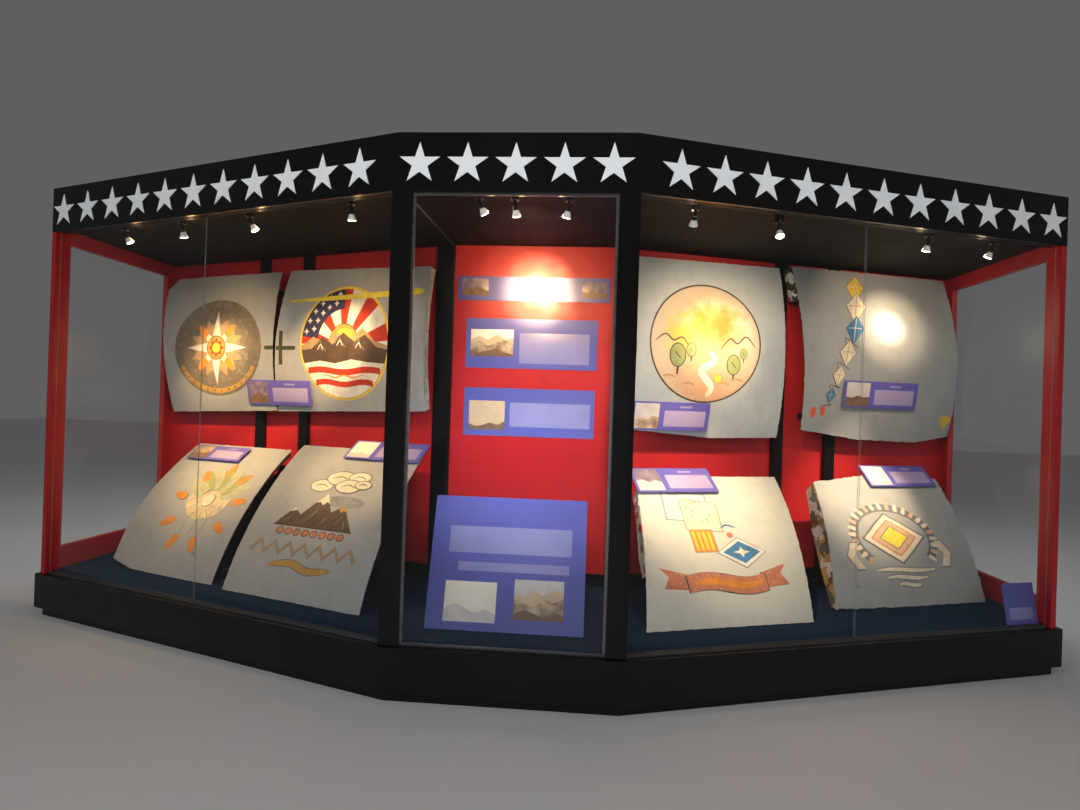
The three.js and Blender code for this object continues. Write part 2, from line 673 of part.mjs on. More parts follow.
for (const side of [-1, 1]) {
  const parts = [box(side * cornerStart, side * cornerEnd, wallFace - skirtingThickness, wallFace,
    deckTop + joint, deckTop + skirtingHeight)];
  for (const upright of uprights) {
    parts.push(box(side * (upright - uprightWidth / 2), side * (upright + uprightWidth / 2),
      wallFace - uprightDepth, wallFace, deckTop + joint, wallHigh));
  }
  for (const skin of skins.filter(({ name, side: own }) => own === side && name.includes('upper'))) {
    const from = Math.min(skin.hoops[0] - hoopWidth, uprights[0]);
    const to = Math.max(skin.hoops.at(-1) + hoopWidth, uprights[1]);
    const outer = skin.name.includes('outer');
    for (const share of ledgerShares) {
      const low = skin.foot[1] + share * chordOf(skin) - ledgerHeight / 2;
      parts.push(box(side * (outer ? skin.hoops[0] - hoopWidth : from),
        side * (outer ? to : uprights[0]), ledgerFront(skin, low), wallFace, low, low + ledgerHeight));
    }
  }
  placeSolid(`back_frame_${sideName(side)}`, 'blackPaint', join(parts), bays[side]);
}

const [centreSkirtX] = mitre(1, centreDepth - backPostProud, bayDepth - backPostProud);
const skirtHalf = Math.min(centreSkirtX, wallFrontX - backPostCentre) - joint;
placeSolid('skirting_centre', 'blackPaint', box(-skirtHalf, skirtHalf,
  centreDepth - joint - skirtingThickness, centreDepth - joint, deckTop + joint,
  deckTop + skirtingHeight));

// Trestles that carry the lower skins: three-sided frames tied by two rails, one set a bay.
// A frame stands behind each outer hoop, but behind the middle one near the front post
const strut = 45;
const trestleTieFront = 1000;
const trestleWidth = 38;
const railShare = 0.9;
const framesOf = ({ name, hoops }) => [hoops[name.includes('inner') ? 1 : 0], hoops.at(-1)];
for (const side of [-1, 1]) {
  const parts = [];
  const lower = skins.filter(({ name, side: own }) => own === side && name.includes('lower'));
  for (const skin of lower) {
    const chord = chordOf(skin);
    const lean = leanOf(skin);
    const behind = hoopDepth * Math.cos(halfArc(chord)) + joint;
    const onLine = (share, extra) => [
      skin.foot[0] + Math.sin(lean) * chord * share + Math.cos(lean) * (behind + extra),
      skin.foot[1] + Math.cos(lean) * chord * share - Math.sin(lean) * (behind + extra),
    ];
    const floor = deckTop + joint;
    const footS = skin.foot[0] + (behind / Math.cos(lean)) + (floor - skin.foot[1]) * Math.tan(lean);
    const [topS, topZ] = onLine(railShare, 0);
    const backS = topS + strut;
    const solidFrame = [[footS, floor], [backS, floor], [backS, topZ], [topS, topZ]];
    const apexZ = floor + (backS - footS) * (topZ - floor) / (topS - footS);
    const hole = insetOutline([[footS, floor], [backS, floor], [backS, apexZ]], [strut, strut, strut]);
    for (const frame of framesOf(skin)) {
      const near = side * (frame - trestleWidth / 2);
      const far = side * (frame + trestleWidth / 2);
      parts.push(sideProfile(solidFrame, near, far)
        .subtract(sideProfile(hole, near - side, far + side)));
    }
    const [from, to] = framesOf(skin).map((frame) => side * frame);
    parts.push(box(from, to, backS - strut, backS, topZ - strut, topZ));
    parts.push(box(from, to, backS - strut, backS, floor, floor + strut));
  }
  const reach = lower.flatMap(framesOf);
  parts.push(box(side * Math.min(...reach), side * Math.max(...reach), trestleTieFront,
    trestleTieFront + strut, deckTop + joint, deckTop + joint + strut));
  placeSolid(`trestles_${sideName(side)}`, 'blackPaint', join(parts), bays[side]);
}

// Signs on the centre wall. Columns: left, right, bottom, top
const signThickness = 5;
const signs = {
  sign_title: [-540, 536, 2281, 2451],
  sign_upper: [-471, 458, 1805, 2155],
  sign_lower: [-472, 450, 1328, 1665],
};
for (const [name, [left, right, bottom, top]] of Object.entries(signs)) {
  placeSolid(name, 'sign', box(left, right, centreDepth - joint - signThickness, centreDepth - joint,
    bottom, top));
}

// Free-standing signs, each leaning on a strut in its middle
const strutReach = 0.72;
const strutSpread = 0.3;
const strutFoot = 12;
const strutTop = 10;
const strutWidth = 24;
function leaningSign(x0, x1, foot, head) {
  const low = deckTop + joint;
  const slope = (head[0] - foot) / (head[1] - low);
  const plate = sideProfile([[foot, low], [foot + signThickness, low],
    [head[0] + signThickness, head[1]], [head[0], head[1]]], x0, x1);
  const legTop = low + (head[1] - low) * strutReach;
  const legFront = foot + slope * (legTop - low) + signThickness - through;
  const legBack = legFront + (legTop - low) * strutSpread;
  const middle = (x0 + x1) / 2;
  const leg = sideProfile([[foot + signThickness - through, low], [legBack, low],
    [legBack, low + strutFoot], [legFront + strutTop, legTop], [legFront, legTop]],
  middle - strutWidth / 2, middle + strutWidth / 2);
  return plate.add(leg);
}
// Columns: side of the bay, left, right, foot as s, head as (s, z)
const leaningSigns = {
  sign_floor: [0, -460, 420, 262, [495, 1004]],
  sign_corner: [1, 2553, 2798, 70, [118, 542]],
};
for (const [name, [side, left, right, foot, head]] of Object.entries(leaningSigns)) {
  placeSolid(name, 'sign', leaningSign(left, right, foot, head), bays[side] ?? object);
}

export default object;
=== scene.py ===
"""Looks of a museum display case: three bays of glass over a black plinth, a fascia of white
stars, red back walls, and eight cut-out curved aircraft skins under small warm lamps.

Metres, +Z up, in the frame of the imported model. Bay 0 is the centre one, -1 the left, 1 the
right. In a bay, x runs to the viewer's right, y into the case, and t = side * x is the distance
from the bay's corner post.
"""

import json
import math
import random

import bmesh
import bpy
from mathutils import Matrix, Vector, noise
from mathutils.geometry import delaunay_2d_cdt

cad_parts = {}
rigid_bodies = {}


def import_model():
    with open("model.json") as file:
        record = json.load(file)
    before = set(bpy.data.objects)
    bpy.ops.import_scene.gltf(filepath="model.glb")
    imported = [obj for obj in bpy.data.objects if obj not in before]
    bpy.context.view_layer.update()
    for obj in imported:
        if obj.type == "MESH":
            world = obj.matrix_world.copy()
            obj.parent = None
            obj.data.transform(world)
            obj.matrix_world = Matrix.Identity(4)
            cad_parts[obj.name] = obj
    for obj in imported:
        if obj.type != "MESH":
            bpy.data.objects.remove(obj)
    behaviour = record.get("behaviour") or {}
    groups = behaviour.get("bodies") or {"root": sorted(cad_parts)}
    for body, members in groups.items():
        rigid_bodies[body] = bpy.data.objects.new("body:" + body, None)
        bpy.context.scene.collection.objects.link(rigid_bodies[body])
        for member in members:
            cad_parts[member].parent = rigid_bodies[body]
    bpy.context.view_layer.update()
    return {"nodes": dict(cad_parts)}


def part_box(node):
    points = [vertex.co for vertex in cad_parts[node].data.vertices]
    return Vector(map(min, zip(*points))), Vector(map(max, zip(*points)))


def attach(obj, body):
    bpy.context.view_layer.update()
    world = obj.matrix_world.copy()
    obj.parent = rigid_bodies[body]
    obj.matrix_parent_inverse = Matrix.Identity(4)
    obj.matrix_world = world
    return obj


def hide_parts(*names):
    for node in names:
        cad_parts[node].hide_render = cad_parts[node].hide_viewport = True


for leftover in list(bpy.data.objects):
    bpy.data.objects.remove(leftover)
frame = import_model()

# ---- Driving dimensions, as in the CAD source ----
CENTRE_HALF = 0.6096
BAY_TURN = math.radians(19)
CENTRE_DEPTH = 1.28
PLINTH_PROUD = 0.017
DECK_TOP = 0.3005
CEILING = 2.67
JOINT = 0.0003
ORIGIN_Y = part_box("plinth_centre")[0].y + PLINTH_PROUD

SIDE_NAMES = {-1: "left", 0: "centre", 1: "right"}
BAYS = {side: Matrix.Translation((side * CENTRE_HALF, ORIGIN_Y, 0))
        @ Matrix.Rotation(side * BAY_TURN, 4, "Z") for side in SIDE_NAMES}


def axes_at(place, x, y, z):
    """Axes on a place, along three unit vectors."""
    return Matrix.Translation(place) @ Matrix((x, y, z)).transposed().to_4x4()


def linked(name, data):
    """A new object in the scene, with this mesh, light or camera."""
    obj = bpy.data.objects.new(name, data)
    bpy.context.scene.collection.objects.link(obj)
    return obj


# ---- Materials ----
def plug(tree, made, inputs):
    """Fills a node's inputs. Each is a value or another node's output socket."""
    for key, value in inputs.items():
        if isinstance(value, bpy.types.NodeSocket):
            tree.links.new(value, made.inputs[key])
        else:
            made.inputs[key].default_value = value


def node(tree, kind, inputs=None, **settings):
    """A shader node with these settings and inputs."""
    made = tree.nodes.new(kind)
    for key, value in settings.items():
        setattr(made, key, value)
    plug(tree, made, inputs or {})
    return made


def blank(name):
    """A new material, its node tree and its Principled shader."""
    material = bpy.data.materials.new(name)
    material.use_nodes = True
    tree = material.node_tree
    return material, tree, tree.nodes["Principled BSDF"]


def rgba(colour):
    return (*colour, 1.0)


def cloud(tree, scale, detail=5.0, stretch=(1, 1, 1), roughness=0.55):
    """Noise in the object's own metres, stretched along an axis if asked."""
    place = node(tree, "ShaderNodeTexCoord").outputs["Object"]
    if tuple(stretch) != (1, 1, 1):
        place = node(tree, "ShaderNodeMapping", {"Vector": place, "Scale": stretch}).outputs[0]
    return node(tree, "ShaderNodeTexNoise", {
        "Vector": place, "Scale": scale, "Detail": detail, "Roughness": roughness}).outputs["Fac"]


def ranged(tree, value, low, high, to_low, to_high):
    return node(tree, "ShaderNodeMapRange", {
        "Value": value, "From Min": low, "From Max": high, "To Min": to_low,
        "To Max": to_high}).outputs[0]


def mixed(tree, factor, first, second):
    """Blend of two colours, each given as numbers or as a socket."""
    first, second = (rgba(c) if isinstance(c, tuple) else c for c in (first, second))
    return node(tree, "ShaderNodeMix", {0: factor, 6: first, 7: second},
                data_type="RGBA").outputs[2]


def computed(tree, operation, first, second):
    """Sum, product or other result of two numbers or sockets."""
    return node(tree, "ShaderNodeMath", {0: first, 1: second}, operation=operation).outputs[0]


def bumped(tree, height, distance):
    """Normal of a surface raised by this height, in metres at its greatest."""
    return node(tree, "ShaderNodeBump", {
        "Height": height, "Distance": distance, "Strength": 1.0}).outputs[0]


def finish(name, colour, other, scale, rough, grain, depth, metal=0.0, stretch=(1, 1, 1),
           dust=None, dust_share=0.5, specular=0.5):
    """Paint or metal: two colours in soft clouds, dust or wear over them, and a fine grain."""
    material, tree, shader = blank(name)
    broad = ranged(tree, cloud(tree, scale, stretch=stretch), 0.3, 0.7, 0, 1)
    shade = mixed(tree, broad, colour, other)
    if dust:
        spots = ranged(tree, cloud(tree, 7.0, 9.0, stretch, 0.7),
                       1 - dust_share, 1.12 - dust_share, 0, 0.75)
        shade = mixed(tree, spots, shade, dust)
    wear = cloud(tree, scale * 7, 6.0, stretch)
    plug(tree, shader, {
        "Base Color": shade, "Roughness": ranged(tree, wear, 0.3, 0.7, *rough),
        "Metallic": metal, "Specular IOR Level": specular,
        "Normal": bumped(tree, cloud(tree, grain, 3.0, stretch), depth)})
    return material


def carpet_finish():
    """Navy loop carpet: round tufts in short rows, with painted shade darkening the hollows
    between them.
    """
    material, tree, shader = blank("carpet_navy")
    place = node(tree, "ShaderNodeTexCoord").outputs["Object"]
    tufts = node(tree, "ShaderNodeTexVoronoi", {"Vector": place, "Scale": 210.0})
    # Colour runs from a pale tuft crown to a dark hollow on the bump's own mask: this is painted
    # shade.
    crown = ranged(tree, tufts.outputs["Distance"], 0, 0.7, 1, 0)
    pile_with_painted_shade = mixed(tree, crown, (0.006, 0.016, 0.042), (0.020, 0.052, 0.120))
    shade = mixed(tree, ranged(tree, cloud(tree, 3.0), 0.3, 0.7, 0, 0.6), pile_with_painted_shade,
                  (0.010, 0.025, 0.064))
    lint = ranged(tree, cloud(tree, 120.0, 8.0, roughness=0.8), 0.69, 0.73, 0, 0.25)
    plug(tree, shader, {
        "Base Color": mixed(tree, lint, shade, (0.09, 0.11, 0.15)), "Roughness": 0.95,
        "Specular IOR Level": 0.0, "Normal": bumped(tree, crown, 0.0011)})
    return material


def glass_finish():
    """Clear sheet glass: open to what is behind, with a mirror's share that grows to its rim
    angles, and a faint film of wipe marks."""
    material, tree, shader = blank("glass_clear")
    facing = node(tree, "ShaderNodeLayerWeight", {"Blend": 0.5}).outputs["Facing"]
    share = ranged(tree, computed(tree, "POWER", facing, 5.0), 0, 1, 0.018, 0.6)
    wipes = ranged(tree, cloud(tree, 2.2, 8.0, (1, 1, 0.35), 0.7), 0.5, 0.8, 0, 1)
    film = ranged(tree, wipes, 0, 1, 0, 0.012)
    plug(tree, shader, {
        "Base Color": mixed(tree, wipes, (0.84, 0.90, 0.87), (0.70, 0.74, 0.73)),
        "Metallic": 1.0, "Roughness": ranged(tree, wipes, 0, 1, 0.015, 0.35),
        "Alpha": computed(tree, "ADD", share, film)})
    return material


def edge_finish():
    """Ground edge of the glass: dull grey-green, and half open to what is behind."""
    material, tree, shader = blank("glass_ground_edge")
    grain = cloud(tree, 7.0, 4.0)
    plug(tree, shader, {
        "Base Color": mixed(tree, grain, (0.17, 0.20, 0.18), (0.27, 0.31, 0.28)),
        "Roughness": ranged(tree, grain, 0.3, 0.7, 0.25, 0.45),
        "Alpha": ranged(tree, grain, 0.3, 0.7, 0.28, 0.42)})
    return material


def settled(material, dust):
    """Adds dust in patches to whatever faces up."""
    tree = material.node_tree
    shader = tree.nodes["Principled BSDF"]
    normal = node(tree, "ShaderNodeNewGeometry").outputs["Normal"]
    height = node(tree, "ShaderNodeSeparateXYZ", {0: normal}).outputs["Z"]
    patches = ranged(tree, cloud(tree, 2.6, 9.0, roughness=0.65), 0.35, 0.65, 0.25, 0.7)
    lying = computed(tree, "MULTIPLY", ranged(tree, height, 0.6, 0.95, 0, 1), patches)
    under = shader.inputs["Base Color"].links[0].from_socket
    plug(tree, shader, {"Base Color": mixed(tree, lying, under, dust)})


def lit_finish(name, colour, strength):
    """A lamp's glowing front: bright in the middle of its grain, warmer between."""
    material, tree, shader = blank(name)
    grain = ranged(tree, cloud(tree, 180.0), 0.3, 0.7, 0, 1)
    glow = mixed(tree, grain, colour, (1.0, 0.93, 0.8))
    plug(tree, shader, {"Base Color": glow, "Emission Color": glow,
                        "Emission Strength": strength, "Roughness": 0.3})
    return material


SKIN_GREY = (0.305, 0.325, 0.33)
PALE_GREY = (0.51, 0.53, 0.475)


def worn_paint(name, colour, wear, under=SKIN_GREY):
    """Hand-laid paint on a skin: uneven, chalky, and rubbed through to the grey in places."""
    material, tree, shader = blank(name)
    tone = ranged(tree, cloud(tree, 9.0, 7.0), 0.3, 0.7, 0, 1)
    shade = mixed(tree, tone, colour, tuple(0.72 * c for c in colour))
    brushed = ranged(tree, cloud(tree, 46.0, 5.0, (1, 1, 0.16), 0.6), 0.5, 0.62, 0, 0.4)
    shade = mixed(tree, brushed, shade, tuple(0.5 * c for c in colour))
    rubbed = ranged(tree, cloud(tree, 34.0, 10.0, roughness=0.75), 1 - wear, 1.1 - wear, 0, 0.8)
    plug(tree, shader, {
        "Base Color": mixed(tree, rubbed, shade, under),
        "Roughness": ranged(tree, tone, 0, 1, 0.45, 0.7),
        "Normal": bumped(tree, cloud(tree, 300.0, 4.0), 0.0004)})
    return material


def fibre_finish(name, colours, scale):
    """Insulation: torn batts in patches of several colours, with a matted fibrous surface."""
    material, tree, shader = blank(name)
    place = node(tree, "ShaderNodeTexCoord").outputs["Object"]
    warp = node(tree, "ShaderNodeTexNoise", {"Vector": place, "Scale": 22.0, "Detail": 6.0})
    small = node(tree, "ShaderNodeVectorMath", {0: warp.outputs["Color"], 1: (0.12, 0.12, 0.12)},
                 operation="MULTIPLY")
    warped = node(tree, "ShaderNodeVectorMath", {0: place, 1: small.outputs[0]}, operation="ADD")
    cells = node(tree, "ShaderNodeTexVoronoi", {"Vector": warped.outputs[0], "Scale": scale})
    ramp = node(tree, "ShaderNodeValToRGB", {0: cells.outputs["Color"]})
    ramp.color_ramp.interpolation = "CONSTANT"
    marks = ramp.color_ramp.elements
    while len(marks) < len(colours):
        marks.new(0.5)
    for index, colour in enumerate(colours):
        marks[index].position = 0.18 + 0.62 * index / len(colours)
        marks[index].color = rgba(colour)
    fray = ranged(tree, cloud(tree, 150.0, 9.0, roughness=0.8), 0.5, 0.62, 0, 0.75)
    plug(tree, shader, {
        "Base Color": mixed(tree, fray, ramp.outputs[0], (0.035, 0.03, 0.025)),
        "Roughness": 0.95,
        "Normal": bumped(tree, cloud(tree, 240.0, 8.0, roughness=0.8), 0.004)})
    return material


def skin_finish(name, base, other, cool, grime):
    """Old aircraft paint: broad clouds, cool mottling, grime in streaks down the sheet, chips."""
    material, tree, shader = blank(name)
    broad = ranged(tree, cloud(tree, 2.2), 0.32, 0.68, 0, 1)
    shade = mixed(tree, broad, base, other)
    mottle = ranged(tree, cloud(tree, 13.0, 8.0, roughness=0.7), 0.46, 0.72, 0, 0.6)
    shade = mixed(tree, mottle, shade, cool)
    streak = ranged(tree, cloud(tree, 1.0, 7.0, (9, 9, 3.2), 0.65), 0.52, 0.80, 0, 0.38)
    shade = mixed(tree, streak, shade, grime)
    specks = ranged(tree, cloud(tree, 95.0, 4.0, roughness=0.6), 0.69, 0.72, 0, 0.7)
    plug(tree, shader, {
        "Base Color": mixed(tree, specks, shade, tuple(0.35 * c for c in grime)),
        "Roughness": ranged(tree, cloud(tree, 16.0, 6.0), 0.3, 0.7, 0.38, 0.62),
        "Normal": bumped(tree, cloud(tree, 380.0, 3.0), 0.00025)})
    return material


BLACK = finish("black_satin_paint", (0.0022, 0.0022, 0.0025), (0.0042, 0.0042, 0.0046), 1.6,
               (0.30, 0.46), 320.0, 0.0002, dust=(0.013, 0.013, 0.014), dust_share=0.34,
               specular=0.36)
CEILING_PAINT = finish("ceiling_matt_paint", (0.0044, 0.0034, 0.0022), (0.0072, 0.0054, 0.0034),
                       2.2, (0.7, 0.85), 240.0, 0.0004, specular=0.2)
settled(CEILING_PAINT, (0.075, 0.070, 0.062))
RED = finish("red_roller_paint", (0.38, 0.011, 0.015), (0.49, 0.018, 0.024), 1.3, (0.40, 0.55),
             210.0, 0.0004, dust=(0.34, 0.014, 0.018), dust_share=0.45)
CARPET = carpet_finish()
GLASS = glass_finish()
GLASS_EDGE = edge_finish()
TRACK = finish("track_aluminium", (0.20, 0.20, 0.20), (0.30, 0.30, 0.30), 3.0, (0.3, 0.45),
               150.0, 0.0001, 0.85, (1, 1, 8), dust=(0.10, 0.095, 0.09), dust_share=0.4)
SKIN = skin_finish("skin_grey_paint", SKIN_GREY, (0.342, 0.365, 0.368), (0.265, 0.31, 0.35),
                   (0.20, 0.185, 0.15))
UPPER_SKIN = skin_finish("skin_blue_grey_paint", (0.38, 0.43, 0.46), (0.45, 0.495, 0.515),
                         (0.32, 0.395, 0.46), (0.27, 0.265, 0.235))
PALE_SKIN = skin_finish("skin_pale_paint", PALE_GREY, (0.58, 0.595, 0.54), (0.48, 0.52, 0.50),
                        (0.36, 0.34, 0.27))
BARE_METAL = finish("skin_bare_metal", (0.52, 0.52, 0.50), (0.40, 0.42, 0.36), 9.0,
                    (0.35, 0.55), 300.0, 0.0002, 0.85)
PRIMER = finish("frame_green_primer", (0.17, 0.20, 0.10), (0.24, 0.26, 0.14), 6.0, (0.5, 0.7),
                300.0, 0.0002, dust=(0.30, 0.28, 0.22), dust_share=0.42)


def print_finish(name, colour, other, scale=4.0):
    """Printed board: a smooth sheet with slight changes of tone."""
    return finish(name, colour, other, scale, (0.28, 0.38), 500.0, 0.00006)


SIGN = print_finish("sign_violet_print", (0.085, 0.096, 0.36), (0.100, 0.112, 0.41), 1.6)
SIGN_PANEL = print_finish("sign_pale_violet_print", (0.21, 0.215, 0.46), (0.26, 0.26, 0.52))
LABEL = print_finish("label_violet_print", (0.105, 0.095, 0.40), (0.13, 0.115, 0.46))
LABEL_PANEL = print_finish("label_lavender_print", (0.33, 0.28, 0.50), (0.38, 0.33, 0.54), 7.0)
CREAM_INSET = print_finish("inset_cream_print", (0.74, 0.70, 0.58), (0.80, 0.77, 0.68), 6.0)
SKY_INSET = print_finish("inset_sky_print", (0.60, 0.58, 0.55), (0.46, 0.45, 0.47), 14.0)
SEPIA_INSET = print_finish("inset_sepia_print", (0.14, 0.085, 0.05), (0.60, 0.48, 0.33), 17.0)
SAND_INSET = print_finish("inset_sand_print", (0.50, 0.37, 0.23), (0.60, 0.47, 0.32), 9.0)
EARTH_INSET = print_finish("inset_earth_print", (0.13, 0.075, 0.045), (0.22, 0.14, 0.09), 24.0)
DUSK_INSET = print_finish("inset_dusk_print", (0.12, 0.10, 0.17), (0.30, 0.24, 0.29), 20.0)
STAR_WHITE = finish("star_white_paint", (0.90, 0.95, 0.97), (0.93, 0.96, 0.98), 3.0,
                    (0.4, 0.55), 300.0, 0.0001, dust=(0.78, 0.82, 0.85), dust_share=0.36)
LAMP_WHITE = finish("lamp_white_enamel", (0.76, 0.76, 0.73), (0.84, 0.84, 0.81), 30.0,
                    (0.2, 0.32), 700.0, 0.00005)
LAMP_BLACK = finish("lamp_black_plastic", (0.006, 0.006, 0.006), (0.012, 0.012, 0.012), 30.0,
                    (0.3, 0.45), 900.0, 0.00005)
CHROME = finish("chrome_rod", (0.62, 0.62, 0.62), (0.72, 0.72, 0.72), 30.0, (0.12, 0.22),
                600.0, 0.00003, 1.0)
LAMP_GLOW = lit_finish("lamp_glow", (1.0, 0.72, 0.42), 14.0)
CREAM_FIBRE = fibre_finish("insulation_cream", [
    (0.62, 0.58, 0.48), (0.50, 0.46, 0.36), (0.74, 0.71, 0.62)], 26.0)
MOTTLED_FIBRE = fibre_finish("insulation_mottled", [
    (0.13, 0.13, 0.115), (0.66, 0.65, 0.62), (0.34, 0.19, 0.06), (0.72, 0.71, 0.69),
    (0.17, 0.085, 0.04), (0.28, 0.29, 0.27), (0.52, 0.33, 0.11)], 13.0)
SPECKLED_FIBRE = fibre_finish("insulation_speckled", [
    (0.62, 0.63, 0.60), (0.40, 0.42, 0.40), (0.70, 0.70, 0.68), (0.42, 0.05, 0.03),
    (0.30, 0.32, 0.29), (0.66, 0.66, 0.62)], 19.0)
GREEN_FIBRE = fibre_finish("insulation_green", [
    (0.035, 0.05, 0.03), (0.10, 0.12, 0.07), (0.72, 0.72, 0.70), (0.05, 0.06, 0.035)], 16.0)

# What each CAD node that stays is finished with, by the start of its name
NODE_FINISHES = {
    "plinth": BLACK, "deck": CARPET, "post_front": BLACK, "post_back": BLACK,
    "fascia": BLACK, "ceiling": CEILING_PAINT, "end_frame": RED, "back_wall": RED,
    "back_frame": BLACK, "skirting": BLACK, "track": TRACK, "trestles": BLACK, "sign": SIGN,
}
# Width of the rounding on the edges of those nodes
ROUNDING = {"plinth": 0.0025, "post_front": 0.002, "post_back": 0.002, "fascia": 0.0012,
            "end_frame": 0.002, "back_frame": 0.002, "skirting": 0.0015, "trestles": 0.002,
            "sign": 0.0008}
WELD_REACH = 0.00001
CREASE = math.radians(30)

for name, obj in frame["nodes"].items():
    kind = next((k for k in NODE_FINISHES if name.startswith(k)), None)
    if kind is None:
        continue
    for slot in obj.material_slots:
        slot.material = NODE_FINISHES[kind]
    if kind in ROUNDING or kind == "ceiling":
        obj.modifiers.new("weld", "WELD").merge_threshold = WELD_REACH
    if kind in ROUNDING:
        bevel = obj.modifiers.new("rounding", "BEVEL")
        bevel.width = ROUNDING[kind]
        bevel.segments = 2
        bevel.limit_method = "ANGLE"
        bevel.angle_limit = CREASE


# ---- Mesh building ----
CURVE_STEPS = 7
# Least gap between an inner point of a filled outline and its edge, in steps
INNER_GAP = 0.45


class Form:
    """A mesh in the making, in the row frame. Each face carries the number of its material."""

    def __init__(self):
        self.bm = bmesh.new()

    def face(self, verts, mark):
        made = self.bm.faces.new(verts)
        made.material_index = mark
        return made

    def loft(self, rings, mark=0):
        """Skin over closed rings of points, with a cap on each end. A ring of one is a tip."""
        loops = [[self.bm.verts.new(p) for p in ring] for ring in rings]
        for low, high in zip(loops, loops[1:]):
            count = max(len(low), len(high))
            for i in range(count):
                j = (i + 1) % count
                corners = [low[i % len(low)], low[j % len(low)], high[j % len(high)],
                           high[i % len(high)]]
                self.face(list(dict.fromkeys(corners)), mark)
        for end in (loops[0], loops[-1]):
            if len(end) > 2:
                self.face(end, mark)

    def box(self, matrix, low, high, bevel=0.0, mark=0, rim_mark=None):
        """Box in the matrix's own axes, its edges rounded. rim_mark is for what faces along x
        or z, and for the rounding."""
        x0, y0, z0 = low
        x1, y1, z1 = high
        corners = [self.bm.verts.new(matrix @ Vector((x, y, z)))
                   for z in (z0, z1) for x, y in ((x0, y0), (x1, y0), (x1, y1), (x0, y1))]
        rim, rounding = (mark, -1) if rim_mark is None else (rim_mark, rim_mark)
        sides = [((0, 3, 2, 1), rim), ((4, 5, 6, 7), rim), ((0, 1, 5, 4), mark),
                 ((2, 3, 7, 6), mark), ((1, 2, 6, 5), rim), ((3, 0, 4, 7), rim)]
        faces = [self.face([corners[i] for i in side], own) for side, own in sides]
        if bevel:
            edges = list(dict.fromkeys(e for f in faces for e in f.edges))
            bmesh.ops.bevel(self.bm, geom=edges, offset=bevel, segments=2, affect="EDGES",
                            profile=0.6, material=rounding)

    def lathe(self, matrix, profile, sides=32, mark=0):
        """Turned form about the matrix's z, from (radius, height) points. A third value shifts
        the ring along y."""
        rings = []
        for radius, height, *shift in profile:
            ring = []
            for i in range(sides if radius > 0 else 1):
                angle = math.tau * i / sides
                ring.append(matrix @ Vector((
                    radius * math.cos(angle), radius * math.sin(angle) + sum(shift), height)))
            rings.append(ring)
        self.loft(rings, mark)

    def slab(self, outline, step, near, far, mark=0, back_mark=None):
        """Thin closed slab over a flat outline. near and far turn (x, y) into points."""
        side_mark = mark if back_mark is None else back_mark
        points, triangles = filled(outline, step)
        fronts = [self.bm.verts.new(near(x, y)) for x, y in points]
        backs = [self.bm.verts.new(far(x, y)) for x, y in points]
        open_edges = {}
        for a, b, c in triangles:
            self.face((fronts[a], fronts[b], fronts[c]), mark)
            self.face((backs[c], backs[b], backs[a]), side_mark)
            for edge in ((a, b), (b, c), (c, a)):
                if edge[::-1] in open_edges:
                    del open_edges[edge[::-1]]
                else:
                    open_edges[edge] = True
        for a, b in open_edges:
            self.face((fronts[b], fronts[a], backs[a], backs[b]), side_mark)

    def piece(self, name, materials, slot, body="case", crease=CREASE, replaces=()):
        """The finished object, riding on its body."""
        bmesh.ops.recalc_face_normals(self.bm, faces=self.bm.faces)
        mesh = bpy.data.meshes.new(name)
        self.bm.to_mesh(mesh)
        self.bm.free()
        for polygon in mesh.polygons:
            polygon.use_smooth = True
        mesh.set_sharp_from_angle(angle=crease)
        for material in materials:
            mesh.materials.append(material)
        obj = linked(name, mesh)
        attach(obj, body)
        if replaces:
            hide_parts(*replaces)
        return obj


def spaced(outline, step, jitter=0.0, rng=None):
    """The closed outline with points at most step apart, each shifted at random if asked."""
    points = []
    for (x0, y0), (x1, y1) in zip(outline, outline[1:] + outline[:1]):
        count = max(1, math.ceil(math.hypot(x1 - x0, y1 - y0) / step))
        for i in range(count):
            share = i / count
            x, y = x0 + (x1 - x0) * share, y0 + (y1 - y0) * share
            if jitter and i:
                x += rng.uniform(-jitter, jitter)
                y += rng.uniform(-jitter, jitter)
            points.append((x, y))
    return points


def within(x, y, outline):
    inside = False
    for (x0, y0), (x1, y1) in zip(outline, outline[1:] + outline[:1]):
        if (y0 > y) != (y1 > y) and x < (x1 - x0) * (y - y0) / (y1 - y0) + x0:
            inside = not inside
    return inside


def gap_to(x, y, outline):
    return min(math.hypot(x - px, y - py) for px, py in outline)


def filled(outline, step):
    """Points and triangles over a flat outline, with inner points a step apart."""
    ring = spaced(outline, step)
    xs, ys = [p[0] for p in ring], [p[1] for p in ring]
    inner = []
    rows = int((max(ys) - min(ys)) / step) + 1
    columns = int((max(xs) - min(xs)) / step) + 1
    for row in range(1, rows):
        y = min(ys) + row * step
        for column in range(columns):
            x = min(xs) + (column + (row % 2) / 2) * step
            if within(x, y, ring) and gap_to(x, y, ring) > INNER_GAP * step:
                inner.append((x, y))
    points = [Vector(p) for p in ring + inner]
    edges = [(i, (i + 1) % len(ring)) for i in range(len(ring))]
    inside_edges = 1
    verts, _, faces, *_ = delaunay_2d_cdt(points, edges, [], inside_edges, 1e-7)
    return [tuple(v) for v in verts], [tuple(f) for f in faces if len(f) == 3]


def curved(points):
    """Smooth line through the points, with CURVE_STEPS steps from each to the next."""
    line = []
    last = len(points) - 1
    for i in range(last):
        a, b = points[max(0, i - 1)], points[i]
        c, d = points[i + 1], points[min(last, i + 2)]
        for step in range(CURVE_STEPS):
            u = step / CURVE_STEPS
            line.append(tuple(
                0.5 * (2 * q + (r - p) * u + (2 * p - 5 * q + 4 * r - w) * u * u
                       + (3 * q - p - 3 * r + w) * u ** 3) for p, q, r, w in zip(a, b, c, d)))
    return line + [points[-1]]


